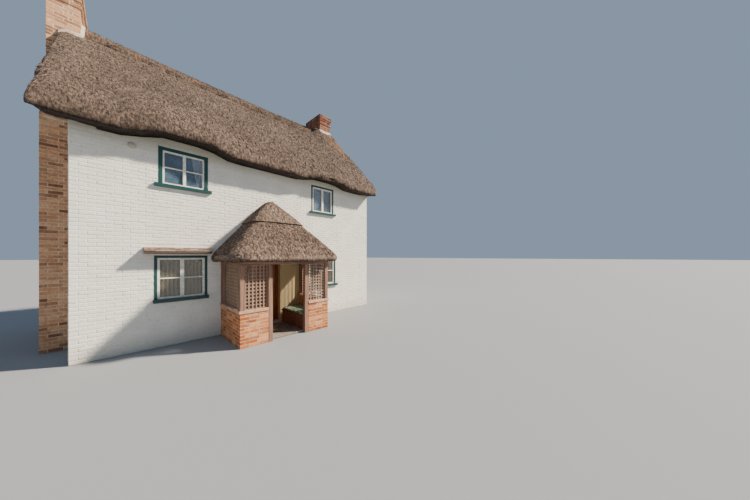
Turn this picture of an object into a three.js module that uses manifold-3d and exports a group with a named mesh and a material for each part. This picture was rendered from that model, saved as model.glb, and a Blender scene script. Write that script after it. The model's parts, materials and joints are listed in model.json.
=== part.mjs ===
// A two-storey thatched cottage of painted brick, with a thatched porch. Millimetres, +Z up.
// The origin is on the ground, in the middle of the main rectangle of walls.
// +X runs along the front wall to the right, and the front faces -Y.
import * as THREE from "three";
import { mergeVertices } from "three/addons/utils/BufferGeometryUtils.js";
import Module from "manifold-3d";

const wasm = await Module();
wasm.setup();

// Small space left between pieces that touch
const GAP = 0.3;
// Smaller than any real size: parts two points that would else fall together
const HAIR = 0.1;
// Further out than any piece
const BEYOND = 9000;

// Main walls
const HOUSE_LENGTH = 7614;
const HOUSE_DEPTH = 5000;
const WALL = 330;
const WALL_X = HOUSE_LENGTH / 2;
const WALL_Y = HOUSE_DEPTH / 2;
const INNER_X = WALL_X - WALL;
const INNER_Y = WALL_Y - WALL;

// Floors
const GROUND_FLOOR_TOP = 85;
const UPPER_FLOOR_BOTTOM = 2300;
// The front walls are divided here, above the lower windows' lintels
const LINTEL_LINE = 2125;
const UPPER_FLOOR_TOP = 2450;

// Main roof: the outer slope falls this much for each unit outwards
const ROOF_FALL = 1.0176;
const RIDGE_Z = 7720;
const RIDGE_SAG = 50;
const LOFT_RIDGE_Z = 7260;
const EAVE_Z = 4370;
const SOFFIT_RISE = 60;
const EAVE_OVERHANG = 450;
const LIFT_LEFT = { x: -2140, height: 170 };
const LIFT_RIGHT = { x: 1660, height: 130 };
const LIFT_REACH = [350, 1000];
const SWEEP_REACH = [1000, 2600];
const ROOF_BAYS = 11;
const SLOPE_STEPS = [0, 500, 1000, 1500, 1950];
const OVER_PLATE = 2200;
// The underside curls from the soffit down to the drip, a share of the way at each step
const EAVE_CURL = [
  { out: 2750, drop: 0, under: 2740, share: 0.35 },
  { out: 2900, drop: 15, under: 2860, share: 0.75 },
];
const EAVE_FACE = { top: 230, back: 15, bottom: 100, out: 3000, lip: 50, lipRise: 6 };
// The verge's reach at the ridge and at the eave, and how much its tip is cut back
const VERGE_LEFT = { ridge: 4150, eave: 4230, tip: 0 };
const VERGE_RIGHT = { ridge: 4020, eave: 4160, tip: 210 };
const TIP_REACH = [1500, 2950];
const VERGE_ROUND_FROM = 0.2;
const VERGE_SHARES = [0.1, VERGE_ROUND_FROM, 0.45, 0.65, 0.8, 0.92, 1];
const VERGE_THINNING = 0.62;
const VERGE_CORE = 0.6;

// Ridge capping of the main roof
const CAPPING_THICKNESS = 40;
const CAPPING_VERGE_GAP = 6;
const CAPPING_REACH = 300;
const CAPPING_ROUND = 70;
const CAPPING_WAVE = 28;
const CAPPING_WAVE_LENGTH = 620;

// Chimneys
const STACK_HALF_Y = 530;
const STACK_THICKNESS = 530;
const STACK_TOP = 8010;
const STACK_BAND = { bottom: 7850, top: 7925, out: 22 };
const STACK_COURSES = [
  { top: 8085, out: 22 },
  { top: 8160, out: 45 },
  { top: 8235, out: 45 },
  { top: 8275, out: 15 },
  { top: 8310, out: -70 },
];
const LEFT_BREAST = { out: 490, halfY: 1200, shoulder: 4900, neck: 5750 };
const RIGHT_STACK_X = 2875;
const RIGHT_BREAST = { halfY: 750, top: 4300 };

// Front doorway
const DOORWAY = { left: -795, right: 145, top: 2095 };
const DOOR_FRAME = { width: 59.7, back: -2285, depth: 90 };
const DOOR_THICKNESS = 45;
const DOOR_EDGE_GAP = 5;
const DOOR_FREE_GAP = 7;
const DOOR_TOP_GAP = 6;
const THRESHOLD_TOP = 90;
const THRESHOLD_STEP = 100;
// The step and each hinge plate reach this far into what they grow out of
const ROOT = { step: 10, hinge: 1 };
const HINGE_RADIUS = 9;
const HINGE_PLATE = { width: 40, thickness: 3, height: 50 };
const HINGE_HEIGHTS = [350, 1050, 1750];
const KNOB = { x: 10, z: 1020 };
// Radius and distance out along the knob
const KNOB_PROFILE = [
  [0, 0],
  [26, 0],
  [26, 5],
  [10, 8],
  [10, 30],
  [24, 38],
  [26, 50],
  [16, 60],
  [0, 62],
];

// Windows: left and right of the frame, bottom of the sill and top of the frame
const WINDOWS = {
  upper_left: { left: -2595, right: -1686, bottom: 3520, top: 4410, bars: 1 },
  upper_right: { left: 1207, right: 2112, bottom: 3430, top: 4380, bars: 0 },
  lower_left: { left: -2663, right: -1698, bottom: 980, top: 2010, bars: 1, sillSide: 20 },
  lower_right: { left: 1220, right: 2200, bottom: 950, top: 2000, bars: 1 },
};
const FRAME_WIDTH = 52;
const FRAME_PROUD = 10;
const FRAME_BACK = 70;
const SILL = { height: 70, out: 80, side: 70 };
const CASEMENT = { width: 42, meeting: 70, bar: 22, front: 6, back: 54 };
const GLASS = 6;
const CURTAIN = { front: 95, back: 140 };
// How much of each window a curtain covers, from and to, and how far it drops
const CURTAINS = {
  lower_left: { from: 0.03, to: 0.97, drop: 970 },
  upper_left: { from: 0.66, to: 0.97, drop: 820 },
  upper_right: { from: 0.03, to: 0.97, drop: 880 },
};

// Lean-to hood over the lower left window
const HOOD = { left: -2830, right: -1650, out: 280, low: 2045, edge: 2090, high: 2180, lip: 20 };
const WALL_LIGHT = { x: -3000, z: 4270, radius: 65, depth: 70 };
// Shares of the light's radius and depth
const WALL_LIGHT_PROFILE = [
  [0, 0],
  [1, 0],
  [1, 0.4],
  [0.8, 0.8],
  [0.4, 1],
  [0, 1],
];

// Porch
const PORCH = { left: -1414, right: 858, front: -3920 };
const PORCH_MIDDLE = (PORCH.left + PORCH.right) / 2;
const PORCH_FLOOR_TOP = 50;
const ENTRANCE = { left: -705, right: 139 };
const DWARF = { thickness: 105, top: 745 };
const COPING = { top: 810, out: 20 };
const POST = 100;
const PLATE = { bottom: 1800, top: 1900 };
const LATTICE_THICKNESS = 22;
const FRONT_LATTICE = { pitch: 100, slat: 38 };
const SIDE_LATTICE = { pitch: 165, slat: 44 };

// Porch thatch
const HOOD_EAVE = { middle: PORCH_MIDDLE + 45, halfX: 1405, reach: 1740, bottom: 1850, top: 2030 };
const HOOD_APEX = { middle: PORCH_MIDDLE, z: 3480, halfX: 25 };
const HOOD_CORNER = 420;
// Round the eave: height from its bottom or top, and how far in
const HOOD_EAVE_ROUND = { low: 35, fade: 70, high: 22, slope: 62, slopeRise: 60 };
const HOOD_BULGE = 35;
const HOOD_CORNER_NARROWING = 0.9;
const HOOD_SLOPE_STEPS = 6;
const HOOD_CORNER_STEPS = 4;
const HOOD_HOLLOW = { inset: 90, corner: 50, below: 50, lip: 12, ridgeHalf: 60, clear: 0.15 };
const HOOD_CAPPING = { bottom: 2880, thickness: 32 };

// Bench in the porch
const BENCH = { left: 130, back: -2615, top: 430, lip: 25, board: 35 };
const CUSHION = { thickness: 60, inset: 20, round: 18 };

const cottage = new THREE.Group();

// Materials, with colours read from the sunlit and shaded sides of the real ones
const finish = (color, roughness, metalness = 0) =>
  new THREE.MeshStandardMaterial({ color, roughness, metalness });
const paintedBrick = finish("#e9e8e4", 0.8);
const orangeBrick = finish("#c1764f", 0.9);
const chimneyBrick = finish("#8f4a38", 0.9);
const thatchStraw = finish("#8a7868", 1);
const greenPaint = finish("#1f4034", 0.45);
const whitePaint = finish("#efeee8", 0.4);
const windowGlass = finish("#7f93a6", 0.08);
const curtainCloth = finish("#e8e6dc", 0.95);
const weatheredOak = finish("#8c7164", 0.8);
const doorOak = finish("#8a4b1c", 0.45);
const stone = finish("#cbbfae", 0.85);
const boards = finish("#7a5a44", 0.8);
const cushionCloth = finish("#5c7350", 0.95);
const clayTile = finish("#a98478", 0.85);
const brass = finish("#b08d4c", 0.35, 1);

function addPiece(name, shape, material) {
  const geometry = shape.isBufferGeometry ? shape : geometryOf(shape);
  const mesh = new THREE.Mesh(geometry, material);
  mesh.name = name;
  cottage.add(mesh);
  return mesh;
}

// Joining and cutting
function solidOf(geometry) {
  const bare = geometry.index ? geometry.toNonIndexed() : geometry.clone();
  bare.deleteAttribute("normal");
  bare.deleteAttribute("uv");
  const merged = mergeVertices(bare, 1e-3);
  return new wasm.Manifold(
    new wasm.Mesh({
      numProp: 3,
      vertProperties: merged.attributes.position.array,
      triVerts: new Uint32Array(merged.index.array),
    }),
  );
}

function geometryOf(solid) {
  const mesh = solid.getMesh();
  const geometry = new THREE.BufferGeometry();
  geometry.setAttribute(
    "position",
    new THREE.BufferAttribute(new Float32Array(mesh.vertProperties), 3),
  );
  geometry.setIndex(new THREE.BufferAttribute(new Uint32Array(mesh.triVerts), 1));
  geometry.computeVertexNormals();
  return geometry;
}

const joined = (...geometries) =>
  geometries.map(solidOf).reduce((whole, piece) => whole.add(piece));

const pierced = (geometry, ...holes) =>
  holes.map(solidOf).reduce((whole, hole) => whole.subtract(hole), solidOf(geometry));

// Plain shapes, placed by their faces
function block(x0, x1, y0, y1, z0, z1) {
  const geometry = new THREE.BoxGeometry(x1 - x0, y1 - y0, z1 - z0);
  return geometry.translate((x0 + x1) / 2, (y0 + y1) / 2, (z0 + z1) / 2);
}

const outline = (points) =>
  new THREE.Shape(points.map(([a, b]) => new THREE.Vector2(a, b)));

// An outline drawn in X and Z, made thick from y0 to y1
function upright(shape, y0, y1) {
  const geometry = new THREE.ExtrudeGeometry(shape, { depth: y1 - y0, bevelEnabled: false });
  return geometry.rotateX(Math.PI / 2).translate(0, y1, 0);
}

// An outline drawn in Y and Z, made thick from x0 to x1
function sideways(shape, x0, x1) {
  const geometry = new THREE.ExtrudeGeometry(shape, { depth: x1 - x0, bevelEnabled: false });
  const turn = new THREE.Matrix4().makeBasis(
    new THREE.Vector3(0, 1, 0),
    new THREE.Vector3(0, 0, 1),
    new THREE.Vector3(1, 0, 0),
  );
  return geometry.applyMatrix4(turn).translate(x0, 0, 0);
}

// An outline drawn in X and Y, made thick from z0 to z1
function flat(shape, z0, z1) {
  const geometry = new THREE.ExtrudeGeometry(shape, { depth: z1 - z0, bevelEnabled: false });
  return geometry.translate(0, 0, z0);
}

// A closed skin over a row of loops that all have the same number of points.
// Each loop runs out along one side of a band and back along the other.
function loft(loops) {
  const count = loops[0].length;
  const points = loops.flat();
  const triangles = [];
  for (let i = 0; i < loops.length - 1; i += 1) {
    for (let j = 0; j < count; j += 1) {
      const a = i * count + j;
      const b = i * count + ((j + 1) % count);
      triangles.push([a, b, b + count], [a, b + count, a + count]);
    }
  }
  const lastStart = points.length - count;
  for (const [a, b, c] of bandTriangles(count)) {
    triangles.push([c, b, a], [lastStart + a, lastStart + b, lastStart + c]);
  }
  const positions = triangles.flatMap((t) => t.flatMap((k) => points[k]));
  const geometry = new THREE.BufferGeometry();
  geometry.setAttribute("position", new THREE.Float32BufferAttribute(positions, 3));
  if (signedVolume(positions) < 0) reverseFaces(geometry);
  geometry.computeVertexNormals();
  return geometry;
}

// Triangles across a band, taken from both of its sides in turn
function bandTriangles(count) {
  const triangles = [];
  let low = 0;
  let high = count - 1;
  while (high - low >= 2) {
    triangles.push([low, low + 1, high]);
    low += 1;
    if (high - low >= 2) triangles.push([low, high - 1, high]);
    high -= 1;
  }
  return triangles;
}

function signedVolume(p) {
  let six = 0;
  for (let i = 0; i < p.length; i += 9) {
    six += p[i] * (p[i + 4] * p[i + 8] - p[i + 5] * p[i + 7]);
    six -= p[i + 1] * (p[i + 3] * p[i + 8] - p[i + 5] * p[i + 6]);
    six += p[i + 2] * (p[i + 3] * p[i + 7] - p[i + 4] * p[i + 6]);
  }
  return six / 6;
}

function reverseFaces(geometry) {
  const p = geometry.attributes.position.array;
  for (let i = 0; i < p.length; i += 9) {
    for (let k = 0; k < 3; k += 1) {
      [p[i + 3 + k], p[i + 6 + k]] = [p[i + 6 + k], p[i + 3 + k]];
    }
  }
}

// Shape of the main thatch
const { smoothstep, lerp } = THREE.MathUtils;

// The eave is swept up over each upper window
function eaveLift(x) {
  const swell = (lift) => lift.height * (1 - smoothstep(Math.abs(x - lift.x), ...LIFT_REACH));
  return swell(LIFT_LEFT) + swell(LIFT_RIGHT);
}

const eaveHeight = (x) => EAVE_Z + eaveLift(x);
const soffitHeight = (x) => eaveHeight(x) + SOFFIT_RISE;
const loftSlope = (out) => LOFT_RIDGE_Z - ROOF_FALL * out;

function outerHeight(x, out) {
  const ridge = RIDGE_Z + RIDGE_SAG * (x / WALL_X) ** 2;
  return ridge - ROOF_FALL * out + eaveLift(x) * smoothstep(out, ...SWEEP_REACH);
}

// Pairs of points, outer then inner, from the ridge down to the drip, as [out, height]
function roofPairs(x, overWall) {
  const eave = eaveHeight(x);
  const soffit = soffitHeight(x);
  const drip = WALL_Y + EAVE_OVERHANG;
  const pairs = SLOPE_STEPS.map((out) => [
    [out, outerHeight(x, out)],
    [out, loftSlope(out)],
  ]);
  const seat = WALL_Y + GAP;
  const plate = overWall ? [INNER_Y - GAP, soffit] : [seat, loftSlope(seat)];
  const face = overWall ? [WALL_Y, soffit] : [seat + GAP, soffit];
  pairs.push([[OVER_PLATE, outerHeight(x, OVER_PLATE)], plate]);
  pairs.push([[WALL_Y, outerHeight(x, WALL_Y)], face]);
  for (const { out, drop, under, share } of EAVE_CURL) {
    pairs.push([[out, outerHeight(x, out) - drop], [under, lerp(soffit, eave, share)]]);
  }
  const { top, back, bottom, out, lip, lipRise } = EAVE_FACE;
  pairs.push([[out - back, eave + top], [drip - lip, eave + lipRise]]);
  pairs.push([[out, eave + bottom], [drip, eave]]);
  return pairs;
}

// Stations along X: a place inside the gable walls, or a share of the verge beyond them
function roofStations() {
  const stations = [];
  for (const share of [...VERGE_SHARES].reverse()) stations.push({ side: -1, share });
  stations.push({ x: -WALL_X, overWall: false }, { x: -INNER_X + GAP - HAIR, overWall: false });
  for (let i = -ROOF_BAYS; i <= ROOF_BAYS; i += 1) {
    stations.push({ x: ((INNER_X - GAP) * i) / ROOF_BAYS, overWall: true });
  }
  stations.push({ x: INNER_X - GAP + HAIR, overWall: false }, { x: WALL_X, overWall: false });
  for (const share of VERGE_SHARES) stations.push({ side: 1, share });
  return stations;
}

// The same pairs in space, thinned and rounded where the thatch oversails a gable
function placedPairs(station, toFront) {
  if (station.share === undefined) {
    const place = ([out, z]) => [station.x, toFront * out, z];
    return roofPairs(station.x, station.overWall).map((pair) => pair.map(place));
  }
  const verge = station.side < 0 ? VERGE_LEFT : VERGE_RIGHT;
  const turn = Math.max(0, (station.share - VERGE_ROUND_FROM) / (1 - VERGE_ROUND_FROM));
  const thinning = VERGE_THINNING * (1 - Math.sqrt(1 - turn * turn));
  const middleX = station.side * lerp(WALL_X, (verge.ridge + verge.eave) / 2, station.share);
  return roofPairs(middleX, false).map(([outer, inner]) => {
    const core = [0, 1].map((k) => lerp(outer[k], inner[k], VERGE_CORE));
    return [outer, inner].map(([out, z]) => {
      const newOut = lerp(out, core[0], thinning);
      const edge = lerp(verge.ridge, verge.eave, newOut / (WALL_Y + EAVE_OVERHANG));
      const trimmed = edge - verge.tip * smoothstep(newOut, ...TIP_REACH);
      const x = station.side * lerp(WALL_X, trimmed, station.share);
      return [x, toFront * newOut, lerp(z, core[1], thinning)];
    });
  });
}

function thatchSlope(toFront) {
  const loops = roofStations().map((station) => {
    const pairs = placedPairs(station, toFront);
    const outer = pairs.map((pair) => pair[0]);
    const inner = pairs.map((pair) => pair[1]).reverse();
    const loop = [...outer, ...inner];
    const ridgeGap = (toFront * GAP) / 2;
    return loop.map(([x, y, z]) => [x, Math.abs(y) < 1 ? ridgeGap : y, z]);
  });
  return solidOf(loft(loops));
}

const leftStackHole = () =>
  solidOf(
    block(-BEYOND, -WALL_X, -STACK_HALF_Y - GAP, STACK_HALF_Y + GAP, LEFT_BREAST.neck, BEYOND),
  );
const rightStackHole = () =>
  solidOf(
    block(
      RIGHT_STACK_X - GAP,
      RIGHT_STACK_X + STACK_THICKNESS + GAP,
      -STACK_HALF_Y - GAP,
      STACK_HALF_Y + GAP,
      RIGHT_BREAST.top,
      BEYOND,
    ),
  );

// The ridge capping lies over both slopes, with a scalloped lower edge
function cappingLoop(station) {
  const along = station.share === undefined ? station.x : station.side * WALL_X;
  const wave = CAPPING_WAVE * Math.cos((2 * Math.PI * along) / CAPPING_WAVE_LENGTH);
  const reach = CAPPING_REACH + (station.share === undefined ? wave : 0);
  const under = station.share === undefined ? GAP : CAPPING_VERGE_GAP;
  const pairs = placedPairs(station, 1);
  const share = (out) => out / SLOPE_STEPS[1];
  const at = (out) => pairs[0][0].map((value, k) => lerp(value, pairs[1][0][k], share(out)));
  const edge = at(reach);
  const near = at(CAPPING_ROUND);
  const place = ([x, y, z], side, rise) => [x, side * y, z + rise];
  const top = CAPPING_THICKNESS + under;
  return [
    place(edge, -1, top),
    place(near, -1, top),
    place(near, 1, top),
    place(edge, 1, top),
    place(edge, 1, under),
    place(at(0), 1, under),
    place(at(HAIR / 100), -1, under),
    place(edge, -1, under),
  ];
}

function addMainRoof() {
  const holes = leftStackHole().add(rightStackHole());
  addPiece("thatch_front", thatchSlope(-1).subtract(holes), thatchStraw);
  addPiece("thatch_rear", thatchSlope(1).subtract(holes), thatchStraw);
  const fineStations = roofStations().flatMap((station, i, all) => {
    const next = all[i + 1];
    if (!station.overWall || !next || !next.overWall) return [station];
    return [station, { x: (station.x + next.x) / 2, overWall: true }];
  });
  const capping = solidOf(loft(fineStations.map(cappingLoop))).subtract(holes);
  const lengths = capping.decompose();
  lengths.sort((a, b) => b.volume() - a.volume());
  addPiece("thatch_ridge", lengths[0], thatchStraw);
  addPiece("thatch_ridge_end", lengths[1], thatchStraw);
}

// Walls
const windowHole = ({ left, right, bottom, top }) =>
  block(left - GAP, right + GAP, -HOUSE_DEPTH, HOUSE_DEPTH, bottom - GAP, top + GAP);

// The wall's top follows the thatch that rests on it
function wallTop(x0, x1) {
  const corners = roofStations()
    .filter((station) => station.overWall && station.x > x0 + 1 && station.x < x1 - 1)
    .map((station) => station.x);
  return [x0, ...corners, x1].map((x) => [x, wallTopHeight(x) - GAP]);
}

// Height of the thatch's underside at x, which is straight between stations
function wallTopHeight(x) {
  const xs = roofStations()
    .filter((station) => station.overWall)
    .map((station) => station.x);
  const k = Math.min(xs.length - 2, Math.max(0, xs.findIndex((next) => next >= x) - 1));
  const share = (x - xs[k]) / (xs[k + 1] - xs[k]);
  return lerp(soffitHeight(xs[k]), soffitHeight(xs[k + 1]), share);
}

function longWall(x0, x1, bottom, side, windows, storeyTop) {
  const roofLine = wallTop(x0, x1).reverse();
  const head = storeyTop === undefined ? roofLine : [[x1, storeyTop], [x0, storeyTop]];
  const shape = outline([[x0, bottom], [x1, bottom], ...head]);
  const [y0, y1] = side < 0 ? [-WALL_Y, -INNER_Y] : [INNER_Y, WALL_Y];
  return pierced(upright(shape, y0, y1), ...windows.map(windowHole));
}

function addWalls() {
  const end = INNER_X - GAP;
  const { upper_left, upper_right, lower_left, lower_right } = WINDOWS;
  const toLeft = (bottom, window, top) =>
    longWall(-end, DOORWAY.left, bottom, -1, [window], top);
  const toRight = (bottom, window, top) =>
    longWall(DOORWAY.right, end, bottom, -1, [window], top);
  const overDoor = longWall(DOORWAY.left + GAP, DOORWAY.right - GAP, DOORWAY.top + GAP, -1, []);
  addPiece("front_wall_lower_left", toLeft(0, lower_left, LINTEL_LINE - GAP), paintedBrick);
  addPiece("front_wall_lower_right", toRight(0, lower_right, LINTEL_LINE - GAP), paintedBrick);
  addPiece("front_wall_upper_left", toLeft(LINTEL_LINE, upper_left), paintedBrick);
  addPiece("front_wall_upper_right", toRight(LINTEL_LINE, upper_right), paintedBrick);
  addPiece("front_wall_over_door", overDoor, paintedBrick);
  addPiece("rear_wall", longWall(-end, end, 0, 1, Object.values(WINDOWS)), paintedBrick);
  const low = loftSlope(WALL_Y) - 2 * GAP;
  const gable = outline([
    [-WALL_Y, 0],
    [WALL_Y, 0],
    [WALL_Y, low],
    [0, LOFT_RIDGE_Z - 2 * GAP],
    [-WALL_Y, low],
  ]);
  addPiece("left_gable_wall", sideways(gable, -WALL_X, -INNER_X), paintedBrick);
  addPiece("right_gable_wall", sideways(gable, INNER_X, WALL_X), paintedBrick);
}

function addFloors() {
  const x = INNER_X - GAP;
  const y = INNER_Y - GAP;
  addPiece("ground_floor", block(-x, x, -y, y, 0, GROUND_FLOOR_TOP), stone);
  const notchX = RIGHT_STACK_X - GAP;
  const notchY = RIGHT_BREAST.halfY + GAP;
  const plan = outline([
    [-x, -y],
    [x, -y],
    [x, -notchY],
    [notchX, -notchY],
    [notchX, notchY],
    [x, notchY],
    [x, y],
    [-x, y],
  ]);
  addPiece("upper_floor", flat(plan, UPPER_FLOOR_BOTTOM, UPPER_FLOOR_TOP), boards);
}

// Chimneys: the stack's oversailing courses and its sloped mortar top
function stackHead(x0, x1) {
  const course = (bottom, top, out) =>
    block(x0 - out, x1 + out, -STACK_HALF_Y - out, STACK_HALF_Y + out, bottom, top);
  const parts = [course(STACK_BAND.bottom, STACK_BAND.top, STACK_BAND.out)];
  let bottom = STACK_TOP;
  for (const { top, out } of STACK_COURSES) {
    parts.push(course(bottom, top, out));
    bottom = top;
  }
  return parts;
}

function addChimneys() {
  const inner = -WALL_X - GAP;
  const outer = -WALL_X - LEFT_BREAST.out;
  const { halfY, shoulder, neck } = LEFT_BREAST;
  const side = outline([
    [-halfY, 0],
    [halfY, 0],
    [halfY, shoulder],
    [STACK_HALF_Y, neck],
    [STACK_HALF_Y, STACK_TOP],
    [-STACK_HALF_Y, STACK_TOP],
    [-STACK_HALF_Y, neck],
    [-halfY, shoulder],
  ]);
  const leftStack = joined(sideways(side, outer, inner), ...stackHead(outer, inner));
  addPiece("left_chimney", leftStack, chimneyBrick);
  const x0 = RIGHT_STACK_X;
  const x1 = RIGHT_STACK_X + STACK_THICKNESS;
  const breast = RIGHT_BREAST;
  const base = GROUND_FLOOR_TOP + GAP;
  const rightStack = joined(
    block(x0, INNER_X - GAP, -breast.halfY, breast.halfY, base, breast.top),
    block(x0, x1, -STACK_HALF_Y, STACK_HALF_Y, breast.top, STACK_TOP),
    ...stackHead(x0, x1),
  );
  addPiece("right_chimney", rightStack, chimneyBrick);
}

// Windows are drawn about x 0, with the wall's outer face at y 0 and the sill's bottom at z 0
function windowFrame(width, height, sillSide) {
  const half = width / 2;
  const clear = half - FRAME_WIDTH;
  const ring = pierced(
    block(-half, half, -FRAME_PROUD, FRAME_BACK, 0, height),
    block(-clear, clear, -FRAME_BACK, 2 * FRAME_BACK, SILL.height, height - FRAME_WIDTH),
  );
  const sill = block(-half - sillSide, half + sillSide, -SILL.out, -GAP, 0, SILL.height);
  return ring.add(solidOf(sill));
}

function casements(width, height, bars, fit) {
  const half = width / 2 - FRAME_WIDTH - fit;
  const bottom = SILL.height + fit;
  const top = height - FRAME_WIDTH - fit;
  const rows = bars + 1;
  const clear = top - bottom - 2 * CASEMENT.width - bars * CASEMENT.bar;
  const paneHeight = clear / rows;
  const panes = [];
  for (let row = 0; row < rows; row += 1) {
    const z = bottom + CASEMENT.width + row * (paneHeight + CASEMENT.bar);
    const near = CASEMENT.meeting / 2;
    const far = half - CASEMENT.width;
    panes.push(block(near, far, 0, 2 * CASEMENT.back, z, z + paneHeight));
    panes.push(block(-far, -near, 0, 2 * CASEMENT.back, z, z + paneHeight));
  }
  return pierced(block(-half, half, CASEMENT.front, CASEMENT.back, bottom, top), ...panes);
}

function glassSheet(width, height, fit) {
  const half = width / 2 - FRAME_WIDTH - fit;
  const y = CASEMENT.back + fit;
  return block(-half, half, y, y + GLASS, SILL.height + fit, height - FRAME_WIDTH - fit);
}

function addWindows() {
  for (const [place, opening] of Object.entries(WINDOWS)) {
    const { left, right, bottom, top, bars, sillSide = SILL.side } = opening;
    const width = right - left;
    const height = top - bottom;
    const middle = (left + right) / 2;
    const put = (name, shape, material) =>
      addPiece(name, shape, material).position.set(middle, -WALL_Y, bottom);
    put(place + "_window_frame", windowFrame(width, height, sillSide), greenPaint);
    put(place + "_casements", casements(width, height, bars, GAP), whitePaint);
    put(place + "_glass", glassSheet(width, height, GAP), windowGlass);
    const whole = windowFrame(width, height, sillSide)
      .add(casements(width, height, bars, -1))
      .add(solidOf(glassSheet(width, height, -1)));
    const rear = addPiece("rear_" + place + "_window", whole, greenPaint);
    rear.position.set(middle, WALL_Y, bottom);
    rear.rotation.z = Math.PI;
  }
  for (const [place, { from, to, drop }] of Object.entries(CURTAINS)) {
    const { left, right, top } = WINDOWS[place];
    const x0 = lerp(left, right, from) + GAP;
    const x1 = lerp(left, right, to) - GAP;
    const y0 = -WALL_Y + CURTAIN.front;
    const y1 = -WALL_Y + CURTAIN.back;
    addPiece(place + "_curtain", block(x0, x1, y0, y1, top - drop, top), curtainCloth);
  }
}

// Front door, its frame and threshold, and the lift-off hinges that join them
function hingeHalf(z, plateSide) {
  const { width, thickness, height } = HINGE_PLATE;
  const pinX = DOOR_PIN.x;
  const pinY = DOOR_PIN.y;
  const barrel = new THREE.CylinderGeometry(HINGE_RADIUS, HINGE_RADIUS, height - GAP, 12);
  barrel.rotateX(Math.PI / 2).translate(pinX, pinY, z + height / 2);
  const edge = pinX + plateSide * width;
  const back = DOOR_FRAME.back;
  const plate = block(
    Math.min(pinX, edge),
    Math.max(pinX, edge),
    back - ROOT.hinge,
    back + thickness,
    z + GAP,
    z + height - GAP,
  );
  return [barrel, plate];
}

const DOOR_LEFT = DOORWAY.left + GAP + DOOR_FRAME.width + DOOR_EDGE_GAP;
const DOOR_RIGHT = DOORWAY.right - GAP - DOOR_FRAME.width - DOOR_FREE_GAP;
const DOOR_PIN = { x: DOOR_LEFT - DOOR_EDGE_GAP / 2, y: DOOR_FRAME.back + HINGE_RADIUS + ROOT.hinge };

function addFrontDoor() {
  const { width, back, depth } = DOOR_FRAME;
  const x0 = DOORWAY.left + GAP;
  const x1 = DOORWAY.right - GAP;
  const bottom = THRESHOLD_TOP + GAP;
  const surround = outline([
    [x0, bottom],
    [x0 + width, bottom],
    [x0 + width, DOORWAY.top - width],
    [x1 - width, DOORWAY.top - width],
    [x1 - width, bottom],
    [x1, bottom],
    [x1, DOORWAY.top],
    [x0, DOORWAY.top],
  ]);
  const fixedHinges = HINGE_HEIGHTS.flatMap((z) => hingeHalf(z - HINGE_PLATE.height, -1));
  const frame = joined(upright(surround, back - depth, back), ...fixedHinges);
  addPiece("door_frame", frame, doorOak);
  const doorBottom = THRESHOLD_TOP + DOOR_FREE_GAP;
  const doorTop = DOORWAY.top - width - DOOR_TOP_GAP;
  const leaf = block(DOOR_LEFT, DOOR_RIGHT, back - DOOR_THICKNESS, back, doorBottom, doorTop);
  const doorHinges = HINGE_HEIGHTS.flatMap((z) => hingeHalf(z, 1));
  addPiece("front_door", joined(leaf, ...doorHinges), doorOak);
  const profile = KNOB_PROFILE.map(([r, y]) => new THREE.Vector2(r, y));
  const knob = new THREE.LatheGeometry(profile, 16).rotateX(Math.PI);
  const knobMesh = addPiece("door_knob", knob, brass);
  knobMesh.position.set(KNOB.x, back - DOOR_THICKNESS - GAP, KNOB.z);
  const slab = block(x0, x1, -WALL_Y, -INNER_Y - GAP, 0, THRESHOLD_TOP);
  const stepFront = -WALL_Y - THRESHOLD_STEP;
  const step = block(x0, x1, stepFront, ROOT.step - WALL_Y, PORCH_FLOOR_TOP + GAP, THRESHOLD_TOP);
  addPiece("door_threshold", joined(slab, step), stone);
}

// Small things on the front wall
function addWallFittings() {
  const seat = -WALL_Y - GAP;
  const out = -WALL_Y - HOOD.out;
  const profile = outline([
    [seat, HOOD.low],
    [seat, HOOD.high],
    [out, HOOD.edge],
    [out, HOOD.low + HOOD.lip],
    [out + HOOD.lip, HOOD.low],
  ]);
  addPiece("window_hood", sideways(profile, HOOD.left, HOOD.right), clayTile);
  const { radius, depth } = WALL_LIGHT;
  const round = WALL_LIGHT_PROFILE.map(([r, y]) => new THREE.Vector2(r * radius, y * depth));
  const light = addPiece("wall_light", new THREE.LatheGeometry(round, 16), whitePaint);
  light.rotation.x = Math.PI;
  light.position.set(WALL_LIGHT.x, seat, WALL_LIGHT.z);
}

// Porch: dwarf walls, copings, posts, plate and lattice
function lShape(side, thickness, out) {
  const outerX = side < 0 ? PORCH.left - out : PORCH.right + out;
  const innerX = outerX - side * (thickness + 2 * out);
  const endX = side < 0 ? ENTRANCE.left - POST - GAP : ENTRANCE.right + POST + GAP;
  const outerY = PORCH.front - out;
  const innerY = PORCH.front + thickness + out;
  const wallY = -WALL_Y - GAP;
  return outline([
    [outerX, outerY],
    [endX, outerY],
    [endX, innerY],
    [innerX, innerY],
    [innerX, wallY],
    [outerX, wallY],
  ]);
}

// Square trellis along one side: crossing slats, fused, from a0 to a1 and from bottom to top
function latticePanel(a0, a1, bottom, top, { pitch, slat }, slatBlock) {
  const starts = (from, to) => {
    const count = Math.round((to - from - slat) / pitch);
    const step = (to - from - slat) / count;
    return Array.from({ length: count + 1 }, (_, i) => from + i * step);
  };
  const uprights = starts(a0, a1).map((a) => slatBlock(a, a + slat, bottom, top));
  const rails = starts(bottom, top).map((z) => slatBlock(a0, a1, z, z + slat));
  return joined(...uprights, ...rails);
}

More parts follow.
